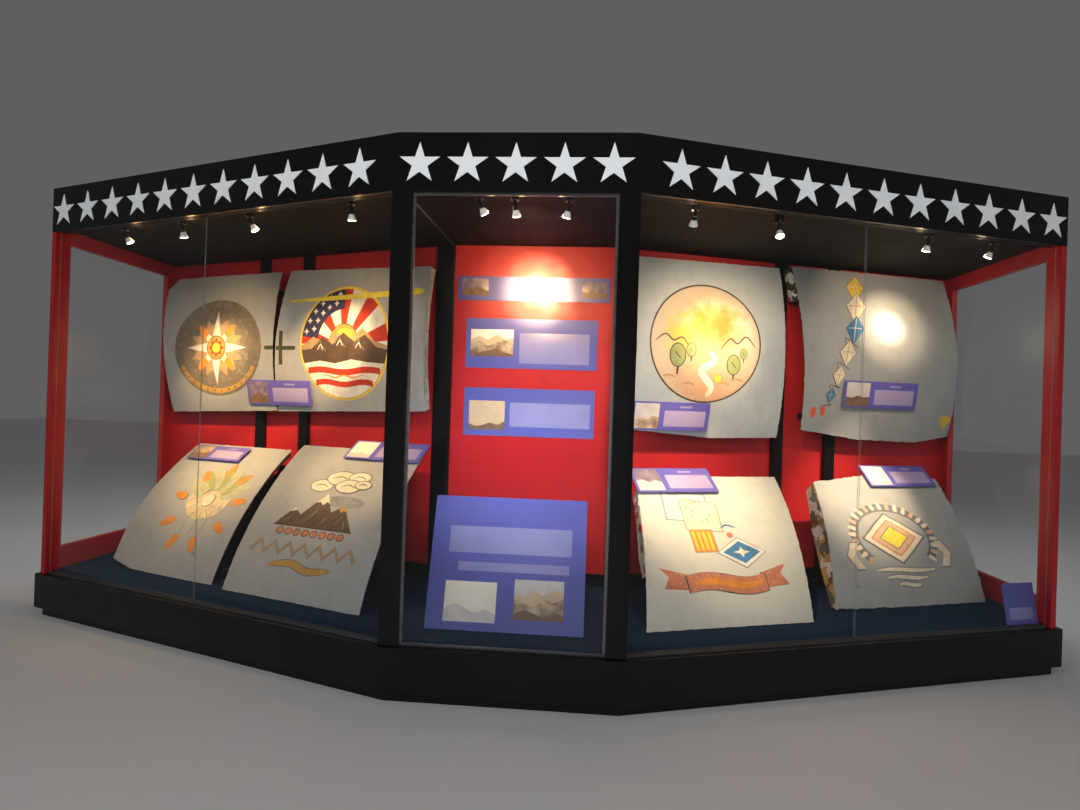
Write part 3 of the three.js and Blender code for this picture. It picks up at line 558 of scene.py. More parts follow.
def local_box(name, matrix):
    """Lowest and highest corner of a CAD node in a bay's own axes."""
    back = matrix.inverted()
    places = [back @ v.co for v in frame["nodes"][name].data.vertices]
    return (Vector([min(p[i] for p in places) for i in range(3)]),
            Vector([max(p[i] for p in places) for i in range(3)]))


# ---- Stars on the fascia ----
STAR_RADIUS = 0.1118
STAR_POINTS = 5
STAR_WAIST = STAR_RADIUS * math.sin(math.pi / 10) / math.sin(3 * math.pi / 10)
STAR_PITCH = 0.248
STAR_HEIGHT = 2.7686
STAR_FIRST = 0.245
STAR_FRONT = 0.0045
STAR_BEVEL = 0.0012
STAR_SUNK = 0.0002
# How far a star's tips and waists draw in, as shares of its bevel
TIP_INSET = 2.4
WAIST_INSET = 0.8
STAR_ROWS = {
    -1: [-(STAR_FIRST + i * STAR_PITCH) for i in range(11)],
    0: [(i - 2) * STAR_PITCH for i in range(5)],
    1: [STAR_FIRST + i * STAR_PITCH for i in range(11)],
}


def star_ring(x, y, inset):
    """A star's outline, drawn in by inset at its bevelled front."""
    ring = []
    for i in range(2 * STAR_POINTS):
        angle = math.pi / 2 + i * math.pi / STAR_POINTS
        radius = STAR_WAIST - WAIST_INSET * inset if i % 2 else STAR_RADIUS - TIP_INSET * inset
        ring.append(Vector((x + radius * math.cos(angle), y,
                            STAR_HEIGHT + radius * math.sin(angle))))
    return ring


for side, places in STAR_ROWS.items():
    form = Form()
    for x in places:
        form.loft([[BAYS[side] @ p for p in star_ring(x, y, inset)] for y, inset in (
            (-STAR_SUNK, 0), (-STAR_FRONT + STAR_BEVEL, 0), (-STAR_FRONT, STAR_BEVEL))])
    form.piece(f"stars_{SIDE_NAMES[side]}", [STAR_WHITE], "black_paint")


# ---- Glass ----
GLASS_CHAMFER = 0.0012


def glass_pane(name, side, body):
    low, high = local_box(name, BAYS[side])
    form = Form()
    form.box(BAYS[side], low, high, GLASS_CHAMFER, 0, 1)
    form.piece(f"glass_{name}", [GLASS, GLASS_EDGE], "glass", body, replaces=[name])
    return low, high


pane_boxes = {}
for side in (-1, 1):
    for part in ("inner", "outer"):
        name = f"pane_{SIDE_NAMES[side]}_{part}"
        pane_boxes[name] = glass_pane(name, side, name)
glass_pane("pane_centre", 0, "case")
for side in (-1, 1):
    name = f"end_glass_{SIDE_NAMES[side]}"
    low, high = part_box(name)
    form = Form()
    form.box(Matrix.Identity(4), low, high, GLASS_CHAMFER, 1, 0)
    pane = form.piece(f"pane_{name}", [GLASS, GLASS_EDGE], "glass", replaces=[name])
    for polygon in pane.data.polygons:
        polygon.material_index = 0 if abs(polygon.normal.x) > 0.9 else 1


# ---- Skins ----
SKIN_RADIUS = 2.16
SHEET = 0.005
HOOP_DEPTH = 0.055
HOOP_WIDTH = 0.03
STRINGER_PITCH = 0.19
STRINGER_DEPTH = 0.022
STRINGER_WIDTH = 0.006
STRINGER_LIP = 2.2
# How far a fixed piece reaches into what carries it
OVERLAP = 0.001
LABEL_STANDOFF = 0.014
LABEL_THICKNESS = 0.006
LABEL_BEVEL = 0.0008
SPACER = (0.06, 0.05)
SPACER_BEVEL = 0.001
SPACER_END = 0.003
DENT = 0.0012
SAW_STEP = 0.014
SAW_JITTER = 0.0022
TORN_JITTER = {"lower_right_outer": 0.0055, "upper_right_outer": 0.0042,
               "upper_left_outer": 0.0034}
GRID_STEP = 0.06


class Skin:
    """One cut-out skin. foot and head are (s, z) ends of its chord, edge its outline in
    (t, share of the chord), as in the CAD source. label is its plate: t from and to, share
    and height."""

    def __init__(self, name, side, foot, head, edge, hoops, label=None, slot="skin_paint"):
        self.name, self.side, self.foot, self.head = name, side, foot, head
        self.edge, self.hoops, self.label, self.slot = edge, hoops, label, slot
        self.chord = math.dist(foot, head)
        self.half = math.asin(self.chord / 2 / SKIN_RADIUS)
        self.lean = math.atan2(head[0] - foot[0], head[1] - foot[1])
        self.arc = 2 * SKIN_RADIUS * self.half
        levels = math.floor(self.chord / STRINGER_PITCH)
        self.stringers = [(level + 0.5) / levels for level in range(levels)]
        self.seed = sum(ord(letter) for letter in name) % 97

    def dent(self, t, share):
        """Slow waves of the old sheet."""
        place = Vector((2.6 * t, 3.1 * share * self.chord, 7.3 * self.seed))
        return DENT * noise.noise(place)

    def smooth_point(self, t, share, stand=0.0):
        angle = self.half * (2 * share - 1)
        radius = SKIN_RADIUS + stand
        y = SKIN_RADIUS * math.cos(self.half) - radius * math.cos(angle)
        z = radius * math.sin(angle)
        s = (self.foot[0] + self.head[0]) / 2 + y * math.cos(self.lean) + z * math.sin(self.lean)
        height = (self.foot[1] + self.head[1]) / 2 - y * math.sin(self.lean) \
            + z * math.cos(self.lean)
        return BAYS[self.side] @ Vector((self.side * t, s, max(height, DECK_TOP + JOINT)))

    def point(self, t, share, stand=0.0):
        """Row-frame point, stand metres in front of the outer surface."""
        return self.smooth_point(t, share, stand + self.dent(t, share))

    def shares_at(self, t):
        """Lowest and highest share of the outline at a distance t."""
        return crossings(self.edge, t)

    def reach_at(self, share):
        """Least and greatest t of the outline at a share."""
        return crossings([(b, a) for a, b in self.edge], share)


def crossings(outline, value):
    """Least and greatest second value where a closed outline passes this first value."""
    found = []
    for (a0, b0), (a1, b1) in zip(outline, outline[1:] + outline[:1]):
        if (a0 <= value) != (a1 <= value):
            found.append(b0 + (b1 - b0) * (value - a0) / (a1 - a0))
    return min(found), max(found)


SKINS = [
    Skin("upper_left_outer", -1, (1.12, 1.4), (1.12, 2.535),
         [(1.878, .04), (3.052, 0), (3.116, .58), (3.134, .916), (3.026, 1), (1.883, 1)],
         [1.96, 2.48, 2.99]),
    Skin("upper_left_inner", -1, (1.12, 1.44), (1.12, 2.54),
         [(.505, .04), (1.876, 0), (1.858, .5), (1.79, 1), (.495, .965)],
         [.58, 1.18, 1.73], (1.505, 2.15, .137, .195)),
    Skin("upper_right_inner", 1, (1.12, 1.36), (1.12, 2.61),
         [(.468, .04), (1.1, 0), (1.624, .01), (1.616, .5), (1.61, 1), (.472, .99)],
         [.54, 1.03, 1.54], (.466, 1.042, .122, .2)),
    Skin("upper_right_outer", 1, (1.12, 1.36), (1.12, 2.635),
         [(1.815, .06), (2.329, .01), (2.867, 0), (3.158, .04), (3.148, .55), (3.087, 1),
          (1.71, 1), (1.772, .5)],
         [1.9, 2.45, 3.02], (2.12, 2.775, .28, .2)),
    Skin("lower_left_outer", -1, (.322, .304), (1.071, 1.149),
         [(1.606, 0), (2.1, 0), (2.4, .006), (2.616, .047), (2.654, .25), (2.674, .52),
          (2.662, 1), (1.674, 1)],
         [1.72, 2.15, 2.58], (2.045, 2.595, .893, .16)),
    Skin("lower_left_inner", -1, (.286, .304), (1.019, 1.197),
         [(.377, 0), (1.465, 0), (1.508, 1), (.44, 1)],
         [.5, .95, 1.4], (.43, 1.05, .978, .195)),
    Skin("lower_right_inner", 1, (.317, .304), (1.027, 1.096),
         [(.28, 0), (1.366, 0), (1.556, 1), (.484, 1)],
         [.56, .93, 1.33], (.45, 1.035, .948, .235), "pale_skin_paint"),
    Skin("lower_right_outer", 1, (.485, .304), (1.034, 1.11),
         [(1.66, .01), (2.26, 0), (2.868, .005), (2.952, .965), (2.33, 1), (1.85, .935)],
         [1.96, 2.4, 2.81], (2.308, 2.895, .98, .2), "pale_skin_paint"),
]
SKIN_OF = {skin.name: skin for skin in SKINS}

# Channel section of a hoop: (along t from its middle, depth behind the surface)
WEB = 0.0025
HOOP_SECTION = [
    (-HOOP_WIDTH / 2, SHEET - OVERLAP), (HOOP_WIDTH / 2, SHEET - OVERLAP),
    (HOOP_WIDTH / 2, SHEET + WEB), (-HOOP_WIDTH / 2 + WEB, SHEET + WEB),
    (-HOOP_WIDTH / 2 + WEB, HOOP_DEPTH - WEB), (HOOP_WIDTH / 2, HOOP_DEPTH - WEB),
    (HOOP_WIDTH / 2, HOOP_DEPTH), (-HOOP_WIDTH / 2, HOOP_DEPTH),
]
HOOP_STEPS = 28
EDGE_MARGIN = 0.006
RIVET_RADIUS = 0.0035
RIVET_SIDES = 6
# Columns: share of the radius, height over the sheet
RIVET_HEAD = [(1, -OVERLAP), (1, 0.0002), (0.55, 0.0007)]
RIVET_PITCH = 0.032
# Distance of a hoop's two rows from its middle, of a stringer's rivets from that, and of any
# rivet from the sheet's edge, which is taken at points EDGE_STEP apart
RIVET_ROW = 0.009
HOOP_CLEAR = 0.02
RIVET_CLEAR = 2.5 * RIVET_RADIUS
EDGE_STEP = 0.02


def hoop(form, skin, t):
    low, high = skin.shares_at(t)
    low, high = low + EDGE_MARGIN, high - EDGE_MARGIN
    form.loft([[skin.smooth_point(t + along, low + (high - low) * i / HOOP_STEPS, -depth)
                for along, depth in HOOP_SECTION] for i in range(HOOP_STEPS + 1)], 2)


def stringer(form, skin, share):
    near, far = skin.reach_at(share)
    rows = STRINGER_WIDTH / skin.arc / 2
    lip = STRINGER_LIP * rows
    section = [(-rows, SHEET - OVERLAP), (lip, SHEET - OVERLAP), (lip, SHEET + WEB / 2),
               (rows, SHEET + WEB / 2), (rows, STRINGER_DEPTH), (-rows, STRINGER_DEPTH)]
    form.loft([[skin.smooth_point(t, share + up, -depth) for up, depth in section]
               for t in (near + EDGE_MARGIN, far - EDGE_MARGIN)], 2)


def rivet(form, skin, t, share):
    rings = []
    for part, rise in RIVET_HEAD:
        radius = part * RIVET_RADIUS
        ring = []
        for i in range(RIVET_SIDES):
            angle = math.tau * i / RIVET_SIDES
            ring.append(skin.point(t + radius * math.cos(angle),
                                   share + radius * math.sin(angle) / skin.arc, rise))
        rings.append(ring)
    form.loft(rings, 0)


def rivet_rows(form, skin):
    """Two rows along each hoop and one along each stringer, clear of the sheet's edge."""
    spaced_edge = [(a, b / skin.arc) for a, b in spaced(
        [(a, b * skin.arc) for a, b in skin.edge], EDGE_STEP)]

    def clear(t, share):
        return within(t, share, skin.edge) and gap_to(t, share * skin.arc, [
            (a, b * skin.arc) for a, b in spaced_edge]) > RIVET_CLEAR

    for t in skin.hoops:
        low, high = skin.shares_at(t)
        count = int((high - low) * skin.arc / RIVET_PITCH)
        for row in (-RIVET_ROW, RIVET_ROW):
            for i in range(1, count):
                share = low + (high - low) * (i + (row > 0) / 2) / count
                if clear(t + row, share):
                    rivet(form, skin, t + row, share)
    for share in skin.stringers:
        near, far = skin.reach_at(share)
        count = int((far - near) / RIVET_PITCH)
        for i in range(1, count):
            t = near + (far - near) * i / count
            if clear(t, share) and min(abs(t - h) for h in skin.hoops) > HOOP_CLEAR:
                rivet(form, skin, t, share)


def label_axes(skin):
    """Axes on the label's middle: x to the viewer's right, y into the case, z up the sheet."""
    start, end, share, _ = skin.label
    middle = (start + end) / 2
    place = skin.smooth_point(middle, share)
    out = (skin.smooth_point(middle, share, 0.1) - place).normalized()
    right = BAYS[skin.side].to_3x3() @ Vector((1, 0, 0))
    return axes_at(place, right, -out, right.cross(-out))


PANEL_RISE = 0.0006
PANEL_SUNK = 0.0005
PANEL_BEVEL = 0.0002
RIDGE_RISE = 0.0002
FLAT_STEP = 1.0


def panel(form, axes, front, x0, x1, z0, z1, mark):
    """Thin printed panel on a board's front."""
    form.box(axes, (x0, front - PANEL_RISE, z0), (x1, front + PANEL_SUNK, z1), PANEL_BEVEL,
             mark)


def picture(form, axes, front, box, sky, ridges):
    """Plain landscape: a panel of sky, and ridges over it. Columns: finish, heights as shares"""
    x0, x1, z0, z1 = box
    panel(form, axes, front, x0, x1, z0, z1, sky)
    for layer, (mark, heights) in enumerate(ridges, 1):
        count = len(heights) - 1
        ridge = curved([(x0 + (x1 - x0) * i / count, z0 + (z1 - z0) * height)
                        for i, height in enumerate(heights)])
        rise = PANEL_RISE + layer * RIDGE_RISE
        form.slab(ridge + [(x1, z0), (x0, z0)], FLAT_STEP,
                  lambda x, z: axes @ Vector((x, front - rise, z)),
                  lambda x, z: axes @ Vector((x, front - RIDGE_RISE, z)), mark)


def label_board(skin, sky, ground, heights):
    """Printed board on a spacer, with a small landscape and a blank text panel."""
    start, end, _, height = skin.label
    half = (end - start) / 2
    axes = label_axes(skin)
    front = -LABEL_STANDOFF - LABEL_THICKNESS
    form = Form()
    form.box(axes, (-half, front, -height / 2), (half, -LABEL_STANDOFF, height / 2),
             LABEL_BEVEL)
    form.box(axes, (-SPACER[0] / 2, -LABEL_STANDOFF - OVERLAP, -SPACER[1] / 2),
             (SPACER[0] / 2, SPACER_END, SPACER[1] / 2), SPACER_BEVEL, 4)
    for mark, x0, x1, z0, z1 in ((1, .03, .34, .06, .94), (3, .41, .95, .14, .70),
                                 (3, .60, .76, .80, .87)):
        box = (-half + 2 * half * x0, -half + 2 * half * x1,
               -height / 2 + height * z0, -height / 2 + height * z1)
        picture(form, axes, front, box, mark, [(2, heights)] if mark == 1 else [])
    form.piece(f"label_{skin.name}", [LABEL, sky, ground, LABEL_PANEL, BLACK], "label_print")


LABEL_INSETS = {
    "upper_left_inner": (DUSK_INSET, EARTH_INSET, (.45, .38, .52, .34, .40)),
    "upper_right_inner": (SKY_INSET, SEPIA_INSET, (.30, .42, .35, .50, .44)),
    "upper_right_outer": (SKY_INSET, EARTH_INSET, (.40, .36, .44, .38, .42)),
    "lower_left_outer": (SEPIA_INSET, EARTH_INSET, (.42, .30, .46, .36, .48)),
    "lower_left_inner": (CREAM_INSET, SKY_INSET, (.30, .24, .34, .22, .28)),
    "lower_right_inner": (DUSK_INSET, SKY_INSET, (.44, .50, .38, .46, .36)),
    "lower_right_outer": (CREAM_INSET, SKY_INSET, (.22, .30, .20, .28, .24)),
}
COATS = {"upper_right_inner": UPPER_SKIN, "lower_right_inner": PALE_SKIN,
         "lower_right_outer": SKIN}
rng = random.Random(19)

for skin in SKINS:
    form = Form()
    outline = spaced([(t, share * skin.arc) for t, share in skin.edge], SAW_STEP,
                     TORN_JITTER.get(skin.name, SAW_JITTER), rng)
    form.slab(outline, GRID_STEP, lambda t, b: skin.point(t, b / skin.arc),
              lambda t, b: skin.point(t, b / skin.arc, -SHEET), 0, 1)
    for t in skin.hoops:
        hoop(form, skin, t)
    for share in skin.stringers:
        stringer(form, skin, share)
    rivet_rows(form, skin)
    coat = COATS.get(skin.name, SKIN)
    form.piece(f"sheet_{skin.name}", [coat, BARE_METAL, PRIMER], skin.slot,
               replaces=[f"skin_{skin.name}"])
    if skin.label:
        label_board(skin, *LABEL_INSETS[skin.name])

# Insulation left on cut edges. Columns: piece, skin, from and to as (t, share), width, depths
# behind the sheet as (share, depth), finish
PADS = [
    ("pad_upper_left", "upper_left_inner", (.505, .045), (.495, .96), .04,
     [(.045, .054), (.96, .05)], CREAM_FIBRE),
    ("pad_lower_right_outer", "lower_right_outer", (1.662, .02), (1.849, .93), .06,
     [(.02, .045), (.3, .12), (.6, .155), (.93, .105)], MOTTLED_FIBRE),
    ("pad_lower_right_edge", "lower_right_outer", (2.888, .70), (2.912, .945), .055,
     [(.70, .04), (.82, .07), (.945, .05)], GREEN_FIBRE),
    ("pad_lower_right_inner", "lower_right_inner", (.342, .3), (.464, .9), .05,
     [(.3, .055), (.45, .105), (.9, .095)], SPECKLED_FIBRE),
    ("pad_upper_right", "upper_right_outer", (1.698, .8), (1.668, .985), .085,
     [(.8, .06), (.985, .045)], GREEN_FIBRE),
]
PAD_STEPS = 110
PAD_SIDE = 12
PAD_ROUGH = 0.006
PAD_SINK = 0.3
PAD_GAP = 0.0005
PAD_CREASE = math.radians(60)
# Coarse lumps and fine tufts. Columns: waves a metre, share
PAD_NOISE = [(19, 1), (61, 0.6), (140, 0.35)]


def between(table, share):
    """Value at a share, from a table of (share, value)."""
    for (a, x), (b, y) in zip(table, table[1:]):
        if share <= b:
            return x + (y - x) * max(0, share - a) / (b - a)
    return table[-1][1]


def torn(place):
    """How far a pad's surface moves at a place."""
    return PAD_ROUGH * sum(share * noise.noise(scale * place) for scale, share in PAD_NOISE)


for name, on_skin, start, end, width, depths, coat in PADS:
    skin = SKIN_OF[on_skin]
    form = Form()
    rings = []
    for step in range(PAD_STEPS + 1):
        run = step / PAD_STEPS
        share = start[1] + (end[1] - start[1]) * run
        t = start[0] + (end[0] - start[0]) * run
        near, depth = SHEET + PAD_GAP, between(depths, share)
        corners = [(0, near), (0, depth), (width, depth), (width, near)]
        ring = []
        for (t0, d0), (t1, d1) in zip(corners, corners[1:] + corners[:1]):
            for i in range(PAD_SIDE):
                along = t0 + (t1 - t0) * i / PAD_SIDE
                deep = d0 + (d1 - d0) * i / PAD_SIDE
                place = skin.smooth_point(t + along, share, -deep)
                pull = -PAD_SINK * PAD_ROUGH + torn(place)
                inward = -1 if along < width / 2 else 1
                drop = max(near, deep - abs(pull) if deep > depth / 2 else deep + abs(pull))
                ring.append(skin.smooth_point(t + along - inward * min(0, pull), share, -drop))
        rings.append(ring)
    form.loft(rings)
    form.piece(name, [coat], "skin_paint", crease=PAD_CREASE)


# ---- Painted designs on the skins ----
# Columns: colour, share rubbed away, and what shows there if not the grey skin
PAINT_ROWS = {
    "umber": ((0.19, 0.16, 0.115), 0.46),
    "cream": ((0.78, 0.72, 0.55), 0.30),
    "white": ((0.74, 0.73, 0.68), 0.28),
    "ochre": ((0.50, 0.30, 0.07), 0.36),
    "yellow": ((0.80, 0.58, 0.07), 0.26),
    "red": ((0.50, 0.045, 0.02), 0.28),
    "navy": ((0.035, 0.035, 0.09), 0.32),
    "tan": ((0.42, 0.29, 0.15), 0.34),
    "olive": ((0.055, 0.060, 0.022), 0.20),
    "brown": ((0.085, 0.055, 0.04), 0.36),
    "orange": ((0.72, 0.27, 0.04), 0.40),
    "peach": ((0.66, 0.44, 0.28), 0.38, PALE_GREY),
    "leaf": ((0.30, 0.36, 0.13), 0.46),
    "mint": ((0.42, 0.46, 0.30), 0.50),
    "blue": ((0.05, 0.20, 0.42), 0.28),
    "slate": ((0.16, 0.18, 0.20), 0.36),
    "coral": ((0.56, 0.20, 0.11), 0.44, PALE_GREY),
    "haze": ((0.70, 0.60, 0.36), 0.52),
    "lemon": ((0.84, 0.72, 0.08), 0.20),
    "scarlet": ((0.80, 0.12, 0.04), 0.22),
    "smoke": ((0.26, 0.29, 0.31), 0.46),
}
PAINTS = {name: worn_paint(f"art_{name}", *row) for name, row in PAINT_ROWS.items()}


def dawn_paint(name, skin, middle, washes):
    """Buff paint with soft washes of colour. Columns of a wash: x, y, radius, colour, share"""
    material, tree, shader = blank(name)
    place = node(tree, "ShaderNodeTexCoord").outputs["Object"]
    shade = mixed(tree, cloud(tree, 11.0, 7.0), (0.58, 0.49, 0.36), (0.50, 0.42, 0.31))
    drift = ranged(tree, cloud(tree, 15.0, 6.0), 0.3, 0.7, -0.05, 0.05)
    for x, y, radius, colour, strength in washes:
        centre = skin.smooth_point(middle[0] + skin.side * x, middle[1] + y / skin.arc)
        away = node(tree, "ShaderNodeVectorMath", {0: place, 1: centre},
                    operation="DISTANCE").outputs["Value"]
        ragged = computed(tree, "ADD", away, drift)
        shade = mixed(tree, ranged(tree, ragged, 0, radius, strength, 0), shade, colour)
    rubbed = ranged(tree, cloud(tree, 34.0, 10.0, roughness=0.75), 0.62, 0.74, 0, 0.5)
    plug(tree, shader, {"Base Color": mixed(tree, rubbed, shade, PALE_GREY), "Roughness": 0.6,
                        "Normal": bumped(tree, cloud(tree, 300.0, 4.0), 0.0004)})
    return material


VALLEY_MIDDLE = (.989, .527)
PAINTS["dawn"] = dawn_paint("art_dawn", SKIN_OF["upper_right_inner"], VALLEY_MIDDLE, [
    (-.02, .07, .34, (0.68, 0.41, 0.11), 1.0), (.12, .13, .20, (0.60, 0.17, 0.015), 1.25),
    (-.03, .16, .15, (0.60, 0.22, 0.03), 1.1), (-.18, .04, .17, (0.74, 0.46, 0.05), 1.1),
    (.02, -.30, .40, (0.52, 0.29, 0.17), 1.1)])
PAINT_BASE = 0.0005
PAINT_LAYER = 0.0003
PAINT_STEP = 0.045
WAVE_STEPS = 48


def polar(rx, ry, degrees, x=0, y=0):
    """Point on an oval."""
    angle = math.radians(degrees)
    return x + rx * math.cos(angle), y + ry * math.sin(angle)


def moved(points, x, y, size=1):
    """The points times size, about (x, y)."""
    return [(x + size * a, y + size * b) for a, b in points]


def on_side(sign, points):
    """The points, mirrored if sign is -1."""
    return [(sign * x, y) for x, y in points]


def oval(rx, ry, x=0, y=0, start=0, end=360, count=64):
    """Oval, or a part of one closed by its chord."""
    points = count if end - start >= 360 else count + 1
    return [polar(rx, ry, start + (end - start) * i / count, x, y) for i in range(points)]


def band(rx, ry, width, start, end, count=40, x=0, y=0):
    """Part of an oval ring."""
    outer = oval(rx, ry, x, y, start, end, count)
    return outer + oval(rx - width, ry - width, x, y, start, end, count)[::-1]


def burst(points, long, short, squash=1.0, turn=90, x=0, y=0):
    """Star of rays: tips at long, waists at short."""
    ring = []
    for i in range(2 * points):
        radius = short if i % 2 else long
        ring.append(polar(radius, squash * radius, turn + 180 * i / points, x, y))
    return ring


def kite(x, y, width, up, down, lean=0.0):
    return [(x + lean, y + up), (x + width / 2, y), (x - lean, y - down), (x - width / 2, y)]


def bar(x0, x1, y0, y1):
    return [(x0, y0), (x1, y0), (x1, y1), (x0, y1)]


def wave(x0, x1, y, thickness, rise, waves, taper=0.0):
    """Wavy band, drawn to a point at its ends if tapered."""
    top, bottom = [], []
    for i in range(WAVE_STEPS + 1):
        share = i / WAVE_STEPS
        x = x0 + (x1 - x0) * share
        middle = y + rise * math.sin(2 * math.pi * waves * share)
        half = thickness / 2 * (1 - taper * abs(2 * share - 1) ** 3)
        top.append((x, middle + half))
        bottom.append((x, middle - half))
    return bottom + top[::-1]


def drop(x, y, size, angle):
    """Drop that points away from a centre."""
    ring = []
    for i in range(20):
        turn = 2 * math.pi * i / 20
        radius = size * (0.34 + 0.16 * math.cos(turn) ** 3)
        ring.append((radius * math.cos(turn) * 2, radius * math.sin(turn)))
    c, s = math.cos(math.radians(angle)), math.sin(math.radians(angle))
    return [(x + c * a - s * b, y + s * a + c * b) for a, b in ring]


def hills(rx, ry, level, heights):
    """Ridge across an oval, closed along the oval below it."""
    reach = rx * math.sqrt(max(0.0, 1 - (level / ry) ** 2))
    count = len(heights) - 1
    ridge = [(-reach + 2 * reach * i / count, level + heights[i]) for i in range(count + 1)]
    start = math.degrees(math.asin(level / ry))
    below = oval(rx, ry, 0, 0, -180 - start, start, 44)
    return [ridge[0]] + below[1:-1] + ridge[:0:-1]


def stroke(points, width, taper=0.7):
    """Brush stroke along a line, thinner at its ends."""
    left, right = [], []
    last = len(points) - 1
    for i, (x, y) in enumerate(points):
        x0, y0 = points[max(0, i - 1)]
        x1, y1 = points[min(last, i + 1)]
        share = width / 2 * (1 - taper * abs(2 * i / last - 1) ** 3) / math.hypot(x1 - x0, y1 - y0)
        left.append((x - (y1 - y0) * share, y + (x1 - x0) * share))
        right.append((x + (y1 - y0) * share, y - (x1 - x0) * share))
    return right + left[::-1]


def brush(points, width, taper=0.7):
    """Curved brush stroke through the points."""
    return stroke(curved(points), width, taper)


def rimmed(colour, outline, rim, width):
    """A shape on a wider one of the rim's colour."""
    cx = sum(x for x, _ in outline) / len(outline)
    cy = sum(y for _, y in outline) / len(outline)
    wider = []
    for x, y in outline:
        away = math.hypot(x - cx, y - cy)
        wider.append((cx + (x - cx) * (1 + width / away), cy + (y - cy) * (1 + width / away)))
    return [(rim, wider), (colour, outline)]


def compass():
    shapes = [("umber", oval(.482, .392)), ("ochre", band(.457, .368, .038, 205, 335))]
    for i in range(12):
        shapes.append(("umber", oval(.011, .011, *polar(.438, .349, 213 + 10.4 * i), count=10)))
    shapes.append(("tan", burst(16, .30, .22, .82)))
    shapes += rimmed("cream", burst(8, .275, .10, .92), "brown", .009)
    shapes += rimmed("white", burst(4, .325, .075, .92), "tan", .008)
    shapes += rimmed("ochre", oval(.098, .092, count=24), "brown", .007)
    shapes += [("red", burst(8, .085, .05, .95, 45)), ("yellow", oval(.044, .042, count=20))]
    for turn in (45, 135, 225, 315):
        shapes.append(("orange", drop(*polar(.185, .165, turn), .09, turn)))
    return shapes


def sunrise():
    rx, ry = .413, .425
    shapes = [("yellow", oval(rx, ry)), ("white", oval(rx - .02, ry - .02))]
    for start in (2, 42, 82, 122, 162):
        ray = oval(rx - .02, ry - .02, 0, 0, start, start + 18, 6)
        shapes.append(("red", ray + [(0, -.02)]))
    shapes.append(("navy", band(rx - .02, ry - .02, .15, 92, 172, 24)))
    for ring, count, first in ((.052, 6, 100), (.115, 5, 106.6)):
        for i in range(count):
            spot = polar(rx - ring, ry - ring, first + 13.2 * i)
            shapes.append(("white", burst(4, .025, .011, 1.0, 90, *spot)))
    shapes += rimmed("ochre", oval(.12, .12, 0, .02, 0, 180, 24), "brown", .008)
    shapes.append(("yellow", oval(.085, .085, 0, .02, 0, 180, 24)))
    for colour, level, heights in (("tan", -.02, [0, .07, .02, .10, .05, .13, .03, 0]),
                                   ("brown", -.05, [0, .01, .10, .04, .13, .06, .11, .02, 0])):
        shapes.append((colour, hills(rx - .02, ry - .02, level, heights)))
    for x, y in ((-.22, .03), (-.04, .06), (.13, .04)):
        for colour, line, width in (
                ("umber", [(-.04, -.06), (0, -.01), (.02, -.05), (.06, -.09)], .012),
                ("cream", [(-.02, -.08), (.01, -.04), (.03, -.08)], .007)):
            shapes.append((colour, brush(moved(line, x, y), width)))
    shapes.append(("white", hills(rx - .02, ry - .02, -.15, [0, .02, .0, .03, .01, 0])))
    pole = [(-.545, .322), (-.3, .318), (.3, .330), (.63, .338), (.662, .350), (.668, .366),
            (.650, .382), (.62, .386), (.3, .372), (-.3, .348), (-.545, .336)]
    return shapes + [("red", wave(-.33, .33, -.205, .046, .010, 1.5)),
                     ("red", wave(-.26, .26, -.295, .042, .010, 1.5)),
                     ("orange", wave(-.20, .21, -.245, .012, .009, 2.5, .8)), ("lemon", pole)]


def round_tree(x, y, size):
    """Round tree on a short trunk."""
    trunk = moved([(0, -.2), (.04, -.7), (0, -1.15)], x, y, size)
    branch = moved([(-.2, .2), (0, 0), (.22, -.22)], x, y, size)
    crown = oval(.48 * size, .66 * size, x, y, count=26)
    return [("brown", stroke(trunk, .16 * size, .2)), *rimmed("leaf", crown, "olive", .07 * size),
            ("olive", brush(branch, .06 * size))]


def valley():
    rx, ry = .427, .416
    shapes = [("brown", oval(rx, ry)), ("dawn", oval(rx - .012, ry - .012))]
    for line in ([(-.385, .0), (-.31, .05), (-.25, .01), (-.18, .03), (-.12, -.05)],
                 [(.10, -.05), (.18, .04), (.24, .01), (.31, .06), (.38, -.01)]):
        shapes.append(("brown", brush(line, .012)))
    shapes.append(("cream", brush([(.03, -.06), (.07, -.12), (-.03, -.19), (.05, -.30),
                                   (.02, -.37)], .05, .6)))
    for x, y, size in ((-.215, -.09, .115), (-.115, -.05, .07), (.215, -.14, .10),
                       (.29, -.06, .055)):
        shapes += round_tree(x, y, size)
    for x, y in ((-.27, -.24), (-.12, -.29), (.15, -.28), (.25, -.25)):
        shapes.append(("tan", brush(moved([(-.05, 0), (0, .012), (.05, -.006)], x, y), .011)))
    shapes += rimmed("yellow", oval(.026, .026, .10, -.24, count=18), "ochre", .006)
    return shapes


